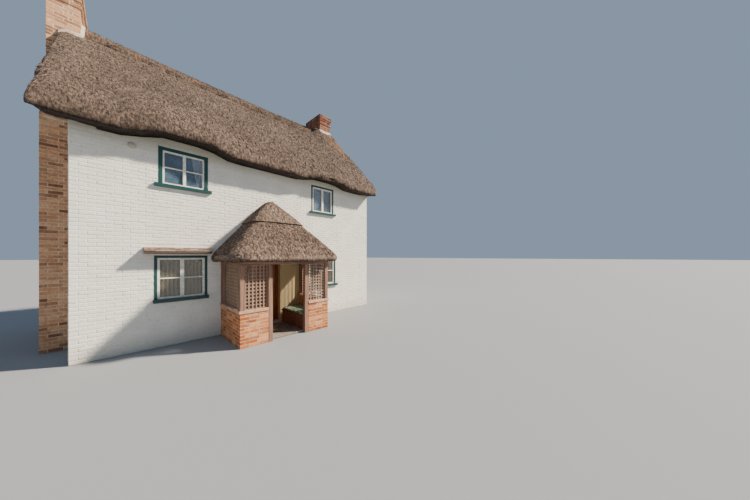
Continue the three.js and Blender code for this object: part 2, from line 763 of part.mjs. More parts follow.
function addPorchFrame() {
  const { left, right, front } = PORCH;
  const wallY = -WALL_Y - GAP;
  const floorLeft = left + DWARF.thickness + GAP;
  const floorRight = right - DWARF.thickness - GAP;
  const floorFront = front + DWARF.thickness + GAP;
  addPiece(
    "porch_floor",
    block(floorLeft, floorRight, floorFront, wallY, 0, PORCH_FLOOR_TOP),
    stone,
  );
  const post = (name, x, bottom) => {
    const shape = block(x, x + POST, front, front + POST, bottom, PLATE.bottom - GAP);
    addPiece(name, shape, weatheredOak);
  };
  for (const [word, side] of Object.entries({ left: -1, right: 1 })) {
    const wall = flat(lShape(side, DWARF.thickness, 0), 0, DWARF.top);
    addPiece("porch_wall_" + word, wall, orangeBrick);
    const coping = flat(lShape(side, DWARF.thickness, COPING.out), DWARF.top + GAP, COPING.top);
    addPiece("porch_coping_" + word, coping, stone);
    post("porch_corner_post_" + word, side < 0 ? left : right - POST, COPING.top + GAP);
    post("porch_inner_post_" + word, side < 0 ? ENTRANCE.left - POST : ENTRANCE.right, 0);
  }
  const plan = outline([
    [left, front],
    [right, front],
    [right, wallY],
    [right - POST, wallY],
    [right - POST, front + POST],
    [left + POST, front + POST],
    [left + POST, wallY],
    [left, wallY],
  ]);
  addPiece("porch_wall_plate", flat(plan, PLATE.bottom, PLATE.top), weatheredOak);
  const low = COPING.top + GAP;
  const high = PLATE.bottom - GAP;
  const inset = (POST - LATTICE_THICKNESS) / 2;
  const frontPanel = (name, x0, x1) => {
    const y = front + inset;
    const slat = (a0, a1, z0, z1) => block(a0, a1, y, y + LATTICE_THICKNESS, z0, z1);
    const panel = latticePanel(x0 + GAP, x1 - GAP, low, high, FRONT_LATTICE, slat);
    addPiece(name, panel, weatheredOak);
  };
  frontPanel("porch_lattice_front_left", left + POST, ENTRANCE.left - POST);
  frontPanel("porch_lattice_front_right", ENTRANCE.right + POST, right - POST);
  // Each side panel ends in the post that stands against the house wall
  const sidePanel = (name, postX) => {
    const x = postX + inset;
    const slat = (a0, a1, z0, z1) => block(x, x + LATTICE_THICKNESS, a0, a1, z0, z1);
    const panel = latticePanel(front + POST + GAP, wallY, low, high, SIDE_LATTICE, slat);
    const wallPost = block(postX, postX + POST, wallY - POST, wallY, low, high);
    addPiece(name, panel.add(solidOf(wallPost)), weatheredOak);
  };
  sidePanel("porch_lattice_left", left);
  sidePanel("porch_lattice_right", right - POST);
}

// A level line of the porch roof: straight at the wall and round at the two front corners
function hoodLevel(halfX, reach, corner, z, middle = PORCH_MIDDLE) {
  const steps = HOOD_CORNER_STEPS;
  const wallY = -WALL_Y - GAP;
  const frontY = -WALL_Y - reach;
  const loop = [[middle - halfX, wallY, z]];
  for (const side of [-1, 1]) {
    for (let i = 0; i <= steps; i += 1) {
      const turn = (Math.PI / 2) * (side < 0 ? i / steps : 1 - i / steps);
      const x = middle + side * (halfX - corner + corner * Math.cos(turn));
      loop.push([x, frontY + corner - corner * Math.sin(turn), z]);
    }
  }
  loop.push([middle + halfX, wallY, z]);
  return loop;
}

// The outer form of the porch thatch, grown outwards by a given amount, above a given height
function hoodForm(grow, bottom) {
  const { halfX, reach, top } = HOOD_EAVE;
  const round = HOOD_EAVE_ROUND;
  const eave = [
    { z: HOOD_EAVE.bottom, inset: round.low },
    { z: HOOD_EAVE.bottom + round.fade, inset: 0 },
    { z: top - round.fade, inset: 0 },
    { z: top, inset: round.high },
    { z: top + round.slopeRise, inset: round.slope },
  ];
  const fullInset = halfX - HOOD_APEX.halfX;
  for (let i = 1; i <= HOOD_SLOPE_STEPS; i += 1) {
    const share = i / HOOD_SLOPE_STEPS;
    const bulge = HOOD_BULGE * Math.sin(Math.PI * share);
    const inset = lerp(round.slope, fullInset, share) - bulge;
    eave.push({ z: lerp(top + round.slopeRise, HOOD_APEX.z, share), inset });
  }
  const levels = eave.map(({ z, inset }) => {
    const narrowing = 1 - (HOOD_CORNER_NARROWING * inset) / fullInset;
    const corner = Math.min(HOOD_CORNER * narrowing, halfX - inset);
    const middle = lerp(HOOD_EAVE.middle, HOOD_APEX.middle, inset / fullInset);
    const half = halfX - inset + grow;
    return { z: z + grow, half, out: reach - inset + grow, corner, middle };
  });
  const level = ({ z, half, out, corner, middle }) =>
    hoodLevel(half, out, corner + grow, z, middle);
  const kept = levels.filter(({ z }) => z > bottom + 1);
  const below = levels[levels.indexOf(kept[0]) - 1];
  if (!below) return solidOf(loft(kept.map(level)));
  const share = (bottom - below.z) / (kept[0].z - below.z);
  const cut = { z: bottom };
  for (const key of ["half", "out", "corner", "middle"]) {
    cut[key] = lerp(below[key], kept[0][key], share);
  }
  return solidOf(loft([cut, ...kept].map(level)));
}

function hoodHollow() {
  const halfX = (PORCH.right - PORCH.left) / 2 + 2 * GAP;
  const reach = -WALL_Y - PORCH.front + 2 * GAP;
  const seat = PLATE.top + GAP;
  const { inset, corner, below, lip, ridgeHalf, clear } = HOOD_HOLLOW;
  const rise = halfX - ridgeHalf;
  const tight = 4 * GAP;
  const mouth = (z) => {
    const mouthHalf = HOOD_EAVE.halfX - inset;
    const mouthReach = HOOD_EAVE.reach - inset;
    return hoodLevel(mouthHalf, mouthReach, HOOD_CORNER - corner, z, HOOD_EAVE.middle);
  };
  const levels = [
    mouth(HOOD_EAVE.bottom - below),
    mouth(HOOD_EAVE.bottom + lip),
    hoodLevel(halfX, reach, tight, seat),
    hoodLevel(ridgeHalf, reach - rise, tight, seat + rise),
  ];
  const room = loft(levels);
  return solidOf(room.translate(0, clear, 0));
}

function addPorchRoof() {
  addPiece("porch_thatch", hoodForm(0, 0).subtract(hoodHollow()), thatchStraw);
  const saddle = hoodForm(HOOD_CAPPING.thickness, HOOD_CAPPING.bottom);
  const under = hoodForm(2 * GAP, 0);
  addPiece("porch_thatch_ridge", saddle.subtract(under), thatchStraw);
}

// Boxed bench along the right side of the porch, with a loose cushion
function addBench() {
  const right = PORCH.right - DWARF.thickness - GAP;
  const front = PORCH.front + DWARF.thickness + GAP;
  const { left, back, top, lip, board } = BENCH;
  const body = block(left + lip, right, front, back, PORCH_FLOOR_TOP + GAP, top - board);
  const seat = block(left, right, front, back, top - board, top);
  addPiece("porch_bench", joined(body, seat), boards);
  const { thickness, inset, round } = CUSHION;
  const edges = [left + inset + round, right - inset - round, front + inset + round];
  const [x0, x1, y0] = edges;
  const y1 = back - inset - round;
  const pad = outline([
    [x0, y0],
    [x1, y0],
    [x1, y1],
    [x0, y1],
  ]);
  const cushion = new THREE.ExtrudeGeometry(pad, {
    depth: thickness - 2 * round,
    bevelThickness: round,
    bevelSize: round,
    bevelSegments: 2,
  });
  addPiece("bench_cushion", cushion.translate(0, 0, top + round + GAP), cushionCloth);
}

addWalls();
addFloors();
addMainRoof();
addChimneys();
addWindows();
addFrontDoor();
addWallFittings();
addPorchFrame();
addPorchRoof();
addBench();

export default cottage;
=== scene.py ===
"""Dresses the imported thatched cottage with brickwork, thatch, joinery and soft goods.

It is laid out as an add-on and run as a script: each operator makes one piece or one
group of like pieces, and main calls them in order. Metres, +Z up, the front faces -Y.
"""

import json
import math
import random
from contextlib import contextmanager
from functools import partial

import bmesh
import bpy
import numpy as np
from mathutils import Matrix, Vector

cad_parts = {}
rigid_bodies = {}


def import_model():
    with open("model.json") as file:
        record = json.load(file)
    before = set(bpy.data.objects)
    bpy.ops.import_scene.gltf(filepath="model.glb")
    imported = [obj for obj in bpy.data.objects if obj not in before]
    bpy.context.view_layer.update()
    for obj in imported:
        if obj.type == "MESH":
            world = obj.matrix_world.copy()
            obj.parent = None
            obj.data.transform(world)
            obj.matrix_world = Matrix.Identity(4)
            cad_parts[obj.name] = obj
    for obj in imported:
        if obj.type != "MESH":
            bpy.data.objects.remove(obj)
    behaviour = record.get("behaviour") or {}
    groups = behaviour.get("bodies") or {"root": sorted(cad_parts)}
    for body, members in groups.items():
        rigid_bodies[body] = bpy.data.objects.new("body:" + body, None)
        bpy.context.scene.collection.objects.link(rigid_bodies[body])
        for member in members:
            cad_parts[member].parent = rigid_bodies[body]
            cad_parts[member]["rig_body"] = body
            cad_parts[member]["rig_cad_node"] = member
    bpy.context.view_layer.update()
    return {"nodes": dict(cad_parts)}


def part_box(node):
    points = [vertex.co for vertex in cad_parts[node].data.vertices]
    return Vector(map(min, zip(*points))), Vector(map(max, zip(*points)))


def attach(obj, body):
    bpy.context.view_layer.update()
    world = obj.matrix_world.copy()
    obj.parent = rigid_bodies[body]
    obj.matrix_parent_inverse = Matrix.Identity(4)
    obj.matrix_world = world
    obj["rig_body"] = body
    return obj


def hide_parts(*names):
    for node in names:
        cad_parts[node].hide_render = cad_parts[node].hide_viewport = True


bl_info = {
    "name": "Thatched Cottage",
    "version": (1, 0, 0),
    "blender": (4, 5, 0),
    "location": "View3D > Sidebar > Cottage",
    "description": "Dresses the packed cottage with brickwork, thatch, joinery and cloth",
    "category": "Object",
}

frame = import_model()
NODES = frame["nodes"]

WINDOWS = ("upper_left", "upper_right", "lower_left", "lower_right")
WALL_X, WALL_Y = 3.807, 2.5
ROOM_X, ROOM_Y = 3.49, 2.2
PORCH_MIDDLE, PORCH_ROOM = -0.278, 1.03
LEAST_CUT, LEAST_SPLIT, BEDDED = 0.03, 0.014, 0.001
MERGE, CLEAR = 0.0001, 0.004
JOINT_DEPTH = 0.006


def linear(code):
    """The linear colour of an sRGB hex value."""
    parts = [int(code[i : i + 2], 16) / 255 for i in (1, 3, 5)]
    return tuple(p / 12.92 if p <= 0.04045 else ((p + 0.055) / 1.055) ** 2.4 for p in parts)


def rgba(code):
    return (*linear(code), 1.0)


# Settings


def length(name, description, default, least=0.0):
    return bpy.props.FloatProperty(
        name=name, description=description, default=default, min=least, unit="LENGTH"
    )


def colour(name, description, code):
    return bpy.props.FloatVectorProperty(
        name=name, description=description, default=linear(code), min=0.0, max=1.0, subtype="COLOR"
    )


class BrickworkSettings(bpy.types.PropertyGroup):
    course: length("Course", "Height of a brick and one bed joint", 0.075)
    brick: length("Brick", "Length of a brick and one joint", 0.225)
    depth: length("Depth", "Depth of a brick laid as a stretcher", 0.1025)
    joint: length("Joint", "Thickness of the mortar joints", 0.01)
    relief: length("Relief", "How far painted bricks stand out of their joints", 0.008)
    paint: colour("Paint", "Masonry paint on the main walls", "#f6f3ea")
    clay: colour("Porch brick", "Body colour of the porch bricks", "#d27c44")
    old_clay: colour("Chimney brick", "Body colour of the chimney bricks", "#8f4b35")


class ThatchSettings(bpy.types.PropertyGroup):
    voxel: length("Voxel", "Fineness of the main slopes' surface", 0.05, 0.02)
    lump: length("Lumps", "Depth of the hollows dressed into the thatch", 0.05)
    reed: length("Reed end", "Length of the reed ends that show", 0.12)
    density: bpy.props.IntProperty(
        name="Reed ends", description="Reed ends on each square metre", default=420, min=0
    )
    straw: colour("Straw", "Weathered reed in full sun", "#80736a")
    # Painted shade for the gaps between reed ends
    shade: colour("Shade", "The gaps between reed ends", "#443931")
    lichen: colour("Lichen", "Orange lichen by the right verge", "#a85c18")


class JoinerySettings(bpy.types.PropertyGroup):
    trellis_pitch: length("Trellis pitch", "From lath to lath of the porch trellis", 0.077, 0.03)
    lath: length("Lath", "Width of a trellis lath", 0.027, 0.005)
    board: length("Board", "Width of the front door's boards", 0.135, 0.02)
    frame_paint: colour("Frame paint", "Gloss paint on window frames and sills", "#1c4845")
    sash_paint: colour("Casement paint", "Satin paint on the casements", "#f4f1e6")
    oak: colour("Oak", "Weathered oak of the porch", "#a07b66")
    door: colour("Door", "Varnished oak of the front door", "#aa6128")


class SoftSettings(bpy.types.PropertyGroup):
    fold: length("Fold", "From fold to fold of the curtains", 0.075, 0.02)
    swell: length("Swell", "How far the cushion may swell", 0.012)
    curtain: colour("Curtain", "Lined cotton curtains", "#b5ac8c")
    net: colour("Net", "Thin voile at the upper windows", "#f1f1ee")
    cushion: colour("Cushion", "Green ground of the bench cushion", "#5a7a4c")


class StageSettings(bpy.types.PropertyGroup):
    floor: colour("Floor", "Pale studio floor", "#94979b")
    sky: colour("Surroundings", "Soft light all round", "#bfd6f2")
    sun: bpy.props.FloatProperty(
        name="Key light", description="Strength of the key light", default=10.0, min=0.0
    )
    fill: bpy.props.FloatProperty(
        name="Fill light", description="Strength of the light all round", default=0.48, min=0.0
    )


# Modelling


def select_only(*pieces):
    bpy.ops.object.select_all(action="DESELECT")
    for piece in pieces:
        piece.select_set(True)
    bpy.context.view_layer.objects.active = pieces[0]


@contextmanager
def editing(piece):
    """Edit mode on one piece, with nothing selected at first."""
    select_only(piece)
    bpy.ops.object.mode_set(mode="EDIT")
    bpy.ops.mesh.select_mode(type="FACE")
    bpy.ops.mesh.select_all(action="DESELECT")
    yield
    bpy.ops.object.mode_set(mode="OBJECT")


def pick(piece, wanted):
    """In edit mode, selects the faces that are wanted and no others."""
    bpy.ops.mesh.select_all(action="DESELECT")
    mesh = bmesh.from_edit_mesh(piece.data)
    found = [face for face in mesh.faces if wanted(face)]
    if not found:
        raise RuntimeError(f"{piece.name} has none of the faces looked for")
    for face in found:
        face.select_set(True)
    bmesh.update_edit_mesh(piece.data)


def settle(piece):
    """Puts a piece's place into its mesh, so that its object sits at the origin."""
    select_only(piece)
    bpy.ops.object.transform_apply(location=True, rotation=True, scale=True)
    return piece


def named(piece, name):
    piece.name = name
    piece.data.name = name
    return piece


def block(name, low, high):
    """A cube primitive drawn out between two corners."""
    low, high = Vector(low), Vector(high)
    bpy.ops.object.select_all(action="DESELECT")
    bpy.ops.mesh.primitive_cube_add(size=1.0, location=(low + high) / 2)
    piece = named(bpy.context.active_object, name)
    piece.scale = high - low
    return settle(piece)


def refine(piece, kind, **settings):
    """Adds a modifier and applies it."""
    select_only(piece)
    modifier = piece.modifiers.new(kind.title(), kind)
    for name, value in settings.items():
        setattr(modifier, name, value)
    bpy.ops.object.modifier_apply(modifier=modifier.name)
    return piece


def smooth(piece, degrees):
    """Smooth shading over the edges that turn by less than an angle."""
    select_only(piece)
    bpy.ops.object.shade_smooth_by_angle(angle=math.radians(degrees))


def ease(piece, width, segments=2):
    """Takes the sharpness off a piece's corners, and keeps its broad faces flat in the
    light."""
    refine(piece, "BEVEL", width=width, segments=segments, limit_method="ANGLE")
    smooth(piece, 35)
    return refine(piece, "WEIGHTED_NORMAL", mode="FACE_AREA", keep_sharp=True)


def roughen(piece, name, size, strength, middle):
    """Makes a surface uneven by clouds of a size."""
    texture = bpy.data.textures.new(name, "CLOUDS")
    texture.noise_scale = size
    texture.noise_depth = 3
    settings = {"texture": texture, "texture_coords": "LOCAL"}
    refine(piece, "DISPLACE", strength=strength, mid_level=middle, **settings)


def copy_of(node, name):
    """A merged copy of a CAD node's solid, mostly in quads and with its own mesh."""
    select_only(NODES[node])
    bpy.ops.object.duplicate()
    piece = named(bpy.context.active_object, name)
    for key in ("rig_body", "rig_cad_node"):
        if key in piece:
            del piece[key]
    piece.parent = None
    piece.rotation_mode = "XYZ"
    if piece.data.has_custom_normals:
        bpy.ops.mesh.customdata_custom_splitnormals_clear()
    with editing(piece):
        bpy.ops.mesh.select_all(action="SELECT")
        bpy.ops.mesh.remove_doubles(threshold=MERGE)
        bpy.ops.mesh.tris_convert_to_quads(
            face_threshold=math.radians(1), shape_threshold=math.radians(180)
        )
    bpy.ops.object.shade_flat()
    return piece


def drawn_in(node, name):
    """A CAD node's solid, drawn in to the depth of its joints."""
    core = copy_of(node, name)
    with editing(core):
        bpy.ops.mesh.select_all(action="SELECT")
        bpy.ops.transform.shrink_fatten(value=-JOINT_DEPTH)
    return core


def mesh_piece(name, points, faces):
    mesh = bpy.data.meshes.new(name)
    mesh.from_pydata(points, [], faces)
    piece = bpy.data.objects.new(name, mesh)
    bpy.context.scene.collection.objects.link(piece)
    return piece


def values_of(elements, key, width=3):
    """One property of all of a mesh's elements, as an array with a row for each."""
    values = np.empty(len(elements) * width)
    elements.foreach_get(key, values)
    return values.reshape(-1, width)


def joined(name, *pieces):
    select_only(*pieces)
    bpy.ops.object.join()
    return named(bpy.context.active_object, name)


def set_tint(piece, values):
    """A shade from 0 to 1 for each point, which the materials read as tint."""
    attributes = piece.data.attributes
    layer = attributes.get("tint") or attributes.new("tint", "FLOAT", "POINT")
    layer.data.foreach_set("value", np.asarray(values, np.float32))


def lay(name, model, places):
    """Copies a model to many places as one piece. A place is a middle, half sizes along
    the model's own axes, a turn as a 3x3 matrix or None, and a tint."""
    rest = np.array([v.co for v in model.data.vertices])
    faces = [tuple(p.vertices) for p in model.data.polygons]
    reach = np.abs(rest).max(0)
    way = np.sign(np.round(rest, 6))
    points, polygons, tints = [], [], []
    for i, (middle, half, turn, tint) in enumerate(places):
        shape = rest + way * (np.array(half) - reach)
        if turn is not None:
            shape = shape @ np.array(turn).T
        points.append(shape + np.array(middle))
        polygons += [tuple(v + i * len(rest) for v in face) for face in faces]
        tints += [tint] * len(rest)
    piece = mesh_piece(name, np.concatenate(points).tolist(), polygons)
    set_tint(piece, tints)
    bpy.data.objects.remove(model)
    return piece


def model_of(name, half, bevel, segments=1):
    """A block about the origin with softened arrises, for lay to copy."""
    half = Vector(half)
    return refine(block(name, -half, half), "BEVEL", width=bevel, segments=segments)


def brick_model(bevel):
    return model_of("brick_model", (0.1, 0.05, 0.03), bevel)


def painted_brick_model(relief):
    """The face of a brick under many coats of paint: a low pillow facing -Y."""
    model = block("painted_brick_model", (-0.1, -relief / 2, -0.03), (0.1, relief / 2, 0.03))
    with editing(model):
        pick(model, lambda f: f.normal.y < -0.9)
        bpy.ops.transform.resize(value=(0.95, 1, 0.8), center_override=(0, 0, 0))
    return model


def run(start, end, unit, joint):
    """Even lengths of about one unit between two ends, with joints between them."""
    count = max(1, round((end - start + joint) / unit))
    pitch = (end - start + joint) / count
    return [(start + i * pitch, start + (i + 1) * pitch - joint) for i in range(count)]


def without(span, gaps):
    """What is left of a span outside the gaps, without scraps too short to lay."""
    spans = [span]
    for start, end in gaps:
        halves = [((a, min(b, start)), (max(a, end), b)) for a, b in spans]
        spans = [half for pair in halves for half in pair]
    return [(a, b) for a, b in spans if b - a > LEAST_CUT]


def spot(low, high):
    """Middle and half sizes of the box between two corners."""
    low, high = np.array(low), np.array(high)
    return (low + high) / 2, (high - low) / 2


def dress(piece, *names):
    """Gives a piece its materials, in the order of its faces' material indices."""
    piece.data.materials.clear()
    for name in names:
        piece.data.materials.append(MATERIALS[name])
    return piece


def place_piece(piece, slot, *nodes, body="house"):
    """Hands a finished piece to its CAD body, with the nodes that it stands for."""
    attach(piece, body)
    if nodes:
        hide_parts(*nodes)
    return piece


def place_eased(node, width, material, slot, segments=2):
    """A CAD node's own shape with its sharp corners taken off."""
    piece = ease(copy_of(node, node + "_dressed"), width, segments)
    return place_piece(dress(piece, material), slot, node)


# Materials


def output_of(node):
    """The socket that a node is read by: the colour of a mix, or else the first one."""
    return node.outputs[2 if node.bl_idname == "ShaderNodeMix" else 0]


def plug(node, sockets):
    """Gives a node's sockets their constants, or links them to another node."""
    for key, value in sockets.items():
        source = output_of(value) if isinstance(value, bpy.types.Node) else value
        if isinstance(source, bpy.types.NodeSocket):
            node.id_data.links.new(source, node.inputs[key])
        else:
            node.inputs[key].default_value = source


def add_node(tree, kind, sockets=None, stops=(), **settings):
    """Adds a node with its settings, its constant or linked sockets and its colour stops.
    A mix is always one of colours."""
    node = tree.nodes.new("ShaderNode" + kind)
    if kind == "Mix":
        node.data_type = "RGBA"
    for name, value in settings.items():
        setattr(node, name, value)
    plug(node, sockets or {})
    for i, (place, shade) in enumerate(stops):
        elements = node.color_ramp.elements
        element = elements[i] if i < 2 else elements.new(place)
        element.position = place
        element.color = shade
    return node


def new_material(name, roughness, **inputs):
    """A material, with a function that adds its nodes, its Principled shader and its
    Object coordinates."""
    material = bpy.data.materials.new(name)
    material.use_nodes = True
    tree = material.node_tree
    shader = tree.nodes["Principled BSDF"]
    plug(shader, {"Roughness": roughness})
    plug(shader, {key.replace("_", " "): value for key, value in inputs.items()})
    place = add_node(tree, "TexCoord").outputs["Object"]
    return material, partial(add_node, tree), shader, place


def shaded(colour_value, share):
    """A colour made darker or lighter by a share, as a stop's colour."""
    return (*[min(1.0, c * share) for c in colour_value], 1.0)


def masonry_paint(settings):
    """Masonry paint on brick, brushed in many coats: dull, bright, a little greyer in
    the joints, with cream plaster indoors and in the porch."""
    material, add, shader, place = new_material("masonry_paint_on_brick", 0.82)
    axes = add("SeparateXYZ", {"Vector": place})
    x, y, z = [axes.outputs[name] for name in "XYZ"]
    paint = settings.paint
    # Brushed coats vary over about 400 mm, and dirt over 60 mm
    coats = add("TexNoise", {"Vector": place, "Scale": 2.5, "Detail": 3.0})
    base = add("ValToRGB", {"Fac": coats}, [(0.3, shaded(paint, 0.9)), (0.7, shaded(paint, 1.0))])
    dirt = add("TexNoise", {"Vector": place, "Scale": 16.0, "Detail": 5.0})
    worn = add("ValToRGB", {"Fac": dirt}, [(0.28, rgba("#cfcabd")), (0.42, rgba("#ffffff"))])
    clean = add("Mix", {0: 0.5, 6: base, 7: worn}, blend_type="MULTIPLY")
    # The foot of the wall is damp for about 350 mm
    foot = add("MapRange", {"Value": z, "From Max": 0.4, "To Min": 0.45, "To Max": 0.0})
    damp = add("Mix", {0: foot, 6: clean, 7: rgba("#b9b39a")})
    # Algae where the long walls stay damp under the eaves, darkened also as painted shade from the
    # eaves, over about 250 mm
    depth = add("Math", {0: y}, operation="ABSOLUTE")
    long_side = add("Math", {0: depth, 1: WALL_Y - 0.05}, operation="GREATER_THAN")
    eaves = add("MapRange", {"Value": z, "From Min": 4.2, "From Max": 4.5, "To Max": 0.55})
    eave_stain_and_shade = add("Math", {0: eaves, 1: long_side}, operation="MULTIPLY")
    algae_and_eave_shade = add("Mix", {0: eave_stain_and_shade, 6: damp, 7: rgba("#7f8058")})
    tint = add("Attribute", attribute_name="tint")
    brick = add("MapRange", {"Value": tint.outputs["Fac"], "To Max": 0.16})
    joints = add("Mix", {0: brick, 6: algae_and_eave_shade, 7: rgba("#dcd6c6")})
    # Plaster covers what lies inside the rooms' limits, and the porch's rear wall
    across = add("Math", {0: x}, operation="ABSOLUTE")
    from_middle = add("Math", {0: x, 1: -PORCH_MIDDLE}, operation="ADD")
    porch_half = add("Math", {0: from_middle}, operation="ABSOLUTE")
    rooms = []
    for limits in (
        ((depth, ROOM_Y), (across, ROOM_X)),
        ((porch_half, PORCH_ROOM), (z, PORCH_WALL_TOP), (y, 0.0)),
    ):
        room = None
        for value, limit in limits:
            within = add("Math", {0: value, 1: limit}, operation="LESS_THAN")
            if room:
                within = add("Math", {0: room, 1: within}, operation="MULTIPLY")
            room = within
        rooms.append(room)
    plaster = add("Math", {0: rooms[0], 1: rooms[1]}, operation="MAXIMUM")
    finished = add("Mix", {0: plaster, 6: joints, 7: rgba("#dcc594")})
    # The brush's stipple is drawn 17 mm wide, or it would not show
    grain = add("TexNoise", {"Vector": place, "Scale": 60.0, "Detail": 6.0})
    bump = add("Bump", {"Height": grain, "Strength": 0.5, "Distance": 0.004})
    plug(shader, {"Base Color": finished, "Normal": bump})
    return material


def fired_clay(name, body, burnt, pale):
    """Fired clay facing brick: matt and gritty, each brick its own shade from the kiln,
    with lime bloom and darker scorched ones."""
    material, add, shader, place = new_material(name, 0.9)
    tint = add("Attribute", attribute_name="tint").outputs["Fac"]
    middling = [(0.35, shaded(body, 0.82)), (0.65, shaded(body, 1.05))]
    kiln = add("ValToRGB", {"Fac": tint}, [(0.0, rgba(burnt)), *middling, (1.0, rgba(pale))])
    # Blotches about 40 mm across on each face, and lime bloom over 150 mm
    white = rgba("#ffffff")
    blotch = add("TexNoise", {"Vector": place, "Scale": 26.0, "Detail": 6.0, "Roughness": 0.65})
    blotches = add("ValToRGB", {"Fac": blotch}, [(0.3, rgba("#8e8a88")), (0.62, white)])
    face = add("Mix", {0: 0.6, 6: kiln, 7: blotches}, blend_type="MULTIPLY")
    lime = add("TexNoise", {"Vector": place, "Scale": 7.0, "Detail": 4.0})
    bloom = add("MapRange", {"Value": lime, "From Min": 0.52, "From Max": 0.78, "To Max": 0.45})
    limed = add("Mix", {0: bloom, 6: face, 7: rgba("#d6bda4")})
    # Grit is drawn 7 mm wide, or it would not show
    grit = add("TexNoise", {"Vector": place, "Scale": 140.0, "Detail": 4.0})
    bump = add("Bump", {"Height": grit, "Strength": 0.6, "Distance": 0.002})
    plug(shader, {"Base Color": limed, "Normal": bump})
    return material


def mineral(name, code, dark_code, roughness=0.9, patch=9.0):
    """Mortar, render, stone or dry earthenware: a dull mineral surface, mottled by wear
    and wet, with a fine grit."""
    material, add, shader, place = new_material(name, roughness)
    stops = [(0.3, rgba(dark_code)), (0.62, rgba(code))]
    # patch counts the worn patches in a metre; grit is drawn 11 mm wide, to show at all
    wear = add("TexNoise", {"Vector": place, "Scale": patch, "Detail": 6.0, "Roughness": 0.6})
    tone = add("ValToRGB", {"Fac": wear}, stops)
    grain = add("TexNoise", {"Vector": place, "Scale": 90.0, "Detail": 5.0})
    bump = add("Bump", {"Height": grain, "Strength": 0.6, "Distance": 0.003})
    plug(shader, {"Base Color": tone, "Normal": bump})
    return material


def water_reed(name, settings, tone=1.0, lichen=0.0):
    """Weathered water reed, dressed into place: grey-brown and dull, its cut ends a fine mottle,
    with painted shade in the gaps between them."""
    material, add, shader, place = new_material(name, 0.95)
    # Bundles show as flecks about 40 mm wide and 80 mm long down the slope
    flecks = add("Mapping", {"Vector": place, "Scale": (1.0, 0.5, 0.5)})
    fleck = add("TexNoise", {"Vector": flecks, "Scale": 26.0, "Detail": 7.0, "Roughness": 0.75})
    # The darkest stop is painted shade in the gaps between reed ends
    stops = [(0.36, shaded(settings.shade, 0.5 * tone))]
    for position, share in ((0.44, 0.5), (0.52, 1.0), (0.62, 1.9)):
        stops.append((position, shaded(settings.straw, share * tone)))
    ends = add("ValToRGB", {"Fac": fleck}, stops)
    # Each reed end has its own random shade; on the thatch body the tint is painted shade, darkening
    # the faces turned down
    tint = add("Attribute", attribute_name="tint").outputs["Fac"]
    stops = [(0.0, rgba("#6f665f")), (0.42, rgba("#d9d2cc")), (1.0, rgba("#ffffff"))]
    own = add("ValToRGB", {"Fac": tint}, stops)
    reed = add("Mix", {0: 1.0, 6: ends, 7: own}, blend_type="MULTIPLY")
    # Weather stains about a metre across
    stops = [(0.35, rgba("#c9bfb6")), (0.5, rgba("#e6ddd5")), (0.68, rgba("#fff6f0"))]
    stain = add("TexNoise", {"Vector": place, "Scale": 1.1, "Detail": 4.0})
    stains = add("ValToRGB", {"Fac": stain}, stops)
    finished = add("Mix", {0: 0.85, 6: reed, 7: stains}, blend_type="MULTIPLY")
    if lichen:
        # It grows up the right verge and, thinner, along the ridge, in patches of 200 mm
        axes = add("SeparateXYZ", {"Vector": place})
        x, z = axes.outputs["X"], axes.outputs["Z"]
        rightward = add("MapRange", {"Value": x, "From Min": 2.2, "From Max": 3.5})
        high = add("MapRange", {"Value": z, "From Min": 4.6, "From Max": 6.9})
        verge = add("Math", {0: rightward, 1: high}, operation="MULTIPLY")
        ridge = add("MapRange", {"Value": z, "From Min": 6.5, "From Max": 7.5, "To Max": 0.62})
        where = add("Math", {0: verge, 1: ridge}, operation="MAXIMUM")
        patches = add("TexNoise", {"Vector": place, "Scale": 5.0, "Detail": 6.0, "Roughness": 0.7})
        spread = add("Math", {0: where, 1: 0.42, 2: -0.42}, operation="MULTIPLY_ADD")
        reached = add("Math", {0: patches, 1: spread}, operation="ADD")
        cover = add(
            "MapRange", {"Value": reached, "From Min": 0.36, "From Max": 0.56, "To Max": lichen}
        )
        stops = [
            (0.42, rgba("#6d6840")), (0.52, shaded(settings.lichen, 1.0)), (0.66, rgba("#8b8272"))
        ]
        kinds = add("TexNoise", {"Vector": place, "Scale": 11.0, "Detail": 3.0})
        growth = add("ValToRGB", {"Fac": kinds}, stops)
        finished = add("Mix", {0: cover, 6: finished, 7: growth})
    # Clumps about 90 mm across stand out by up to 50 mm
    clumps = add("TexNoise", {"Vector": place, "Scale": 11.0, "Detail": 4.0})
    lumpy = add("Bump", {"Height": clumps, "Strength": 0.6, "Distance": 0.05})
    bump = add("Bump", {"Height": fleck, "Strength": 1.0, "Distance": 0.03, "Normal": lumpy})
    plug(shader, {"Base Color": finished, "Normal": bump})
    return material


def timber(name, colour_value, along, roughness=0.75, dark=0.5, coat=0.0, checks=1.0):
    """Sawn timber with its grain along one axis: long fibres, darker growth rings and,
    where it is bare, fine drying cracks."""
    material, add, shader, place = new_material(name, roughness, Coat_Weight=coat)
    # Fibres are drawn 8 mm apart, or they would not show, and run 25 times as long
    scale = [1.0, 1.0, 1.0]
    scale[along] = 0.04
    fibres = add("Mapping", {"Vector": place, "Scale": scale})
    fibre = add("TexNoise", {"Vector": fibres, "Scale": 120.0, "Detail": 5.0, "Roughness": 0.65})
    shares = ((0.32, dark), (0.5, 0.9), (0.7, 1.25))
    stops = [(position, shaded(colour_value, share)) for position, share in shares]
    ring = add("TexNoise", {"Vector": fibres, "Scale": 22.0, "Detail": 3.0, "Distortion": 0.6})
    rings = add("ValToRGB", {"Fac": ring}, stops)
    stops = [(0.3, rgba("#9a908a")), (0.6, rgba("#ffffff"))]
    streaks = add("ValToRGB", {"Fac": fibre}, stops)
    wood = add("Mix", {0: 0.7, 6: rings, 7: streaks}, blend_type="MULTIPLY")
    bump = add("Bump", {"Height": fibre, "Strength": 0.5 * checks, "Distance": 0.003})
    plug(shader, {"Base Color": wood, "Normal": bump})
    return material


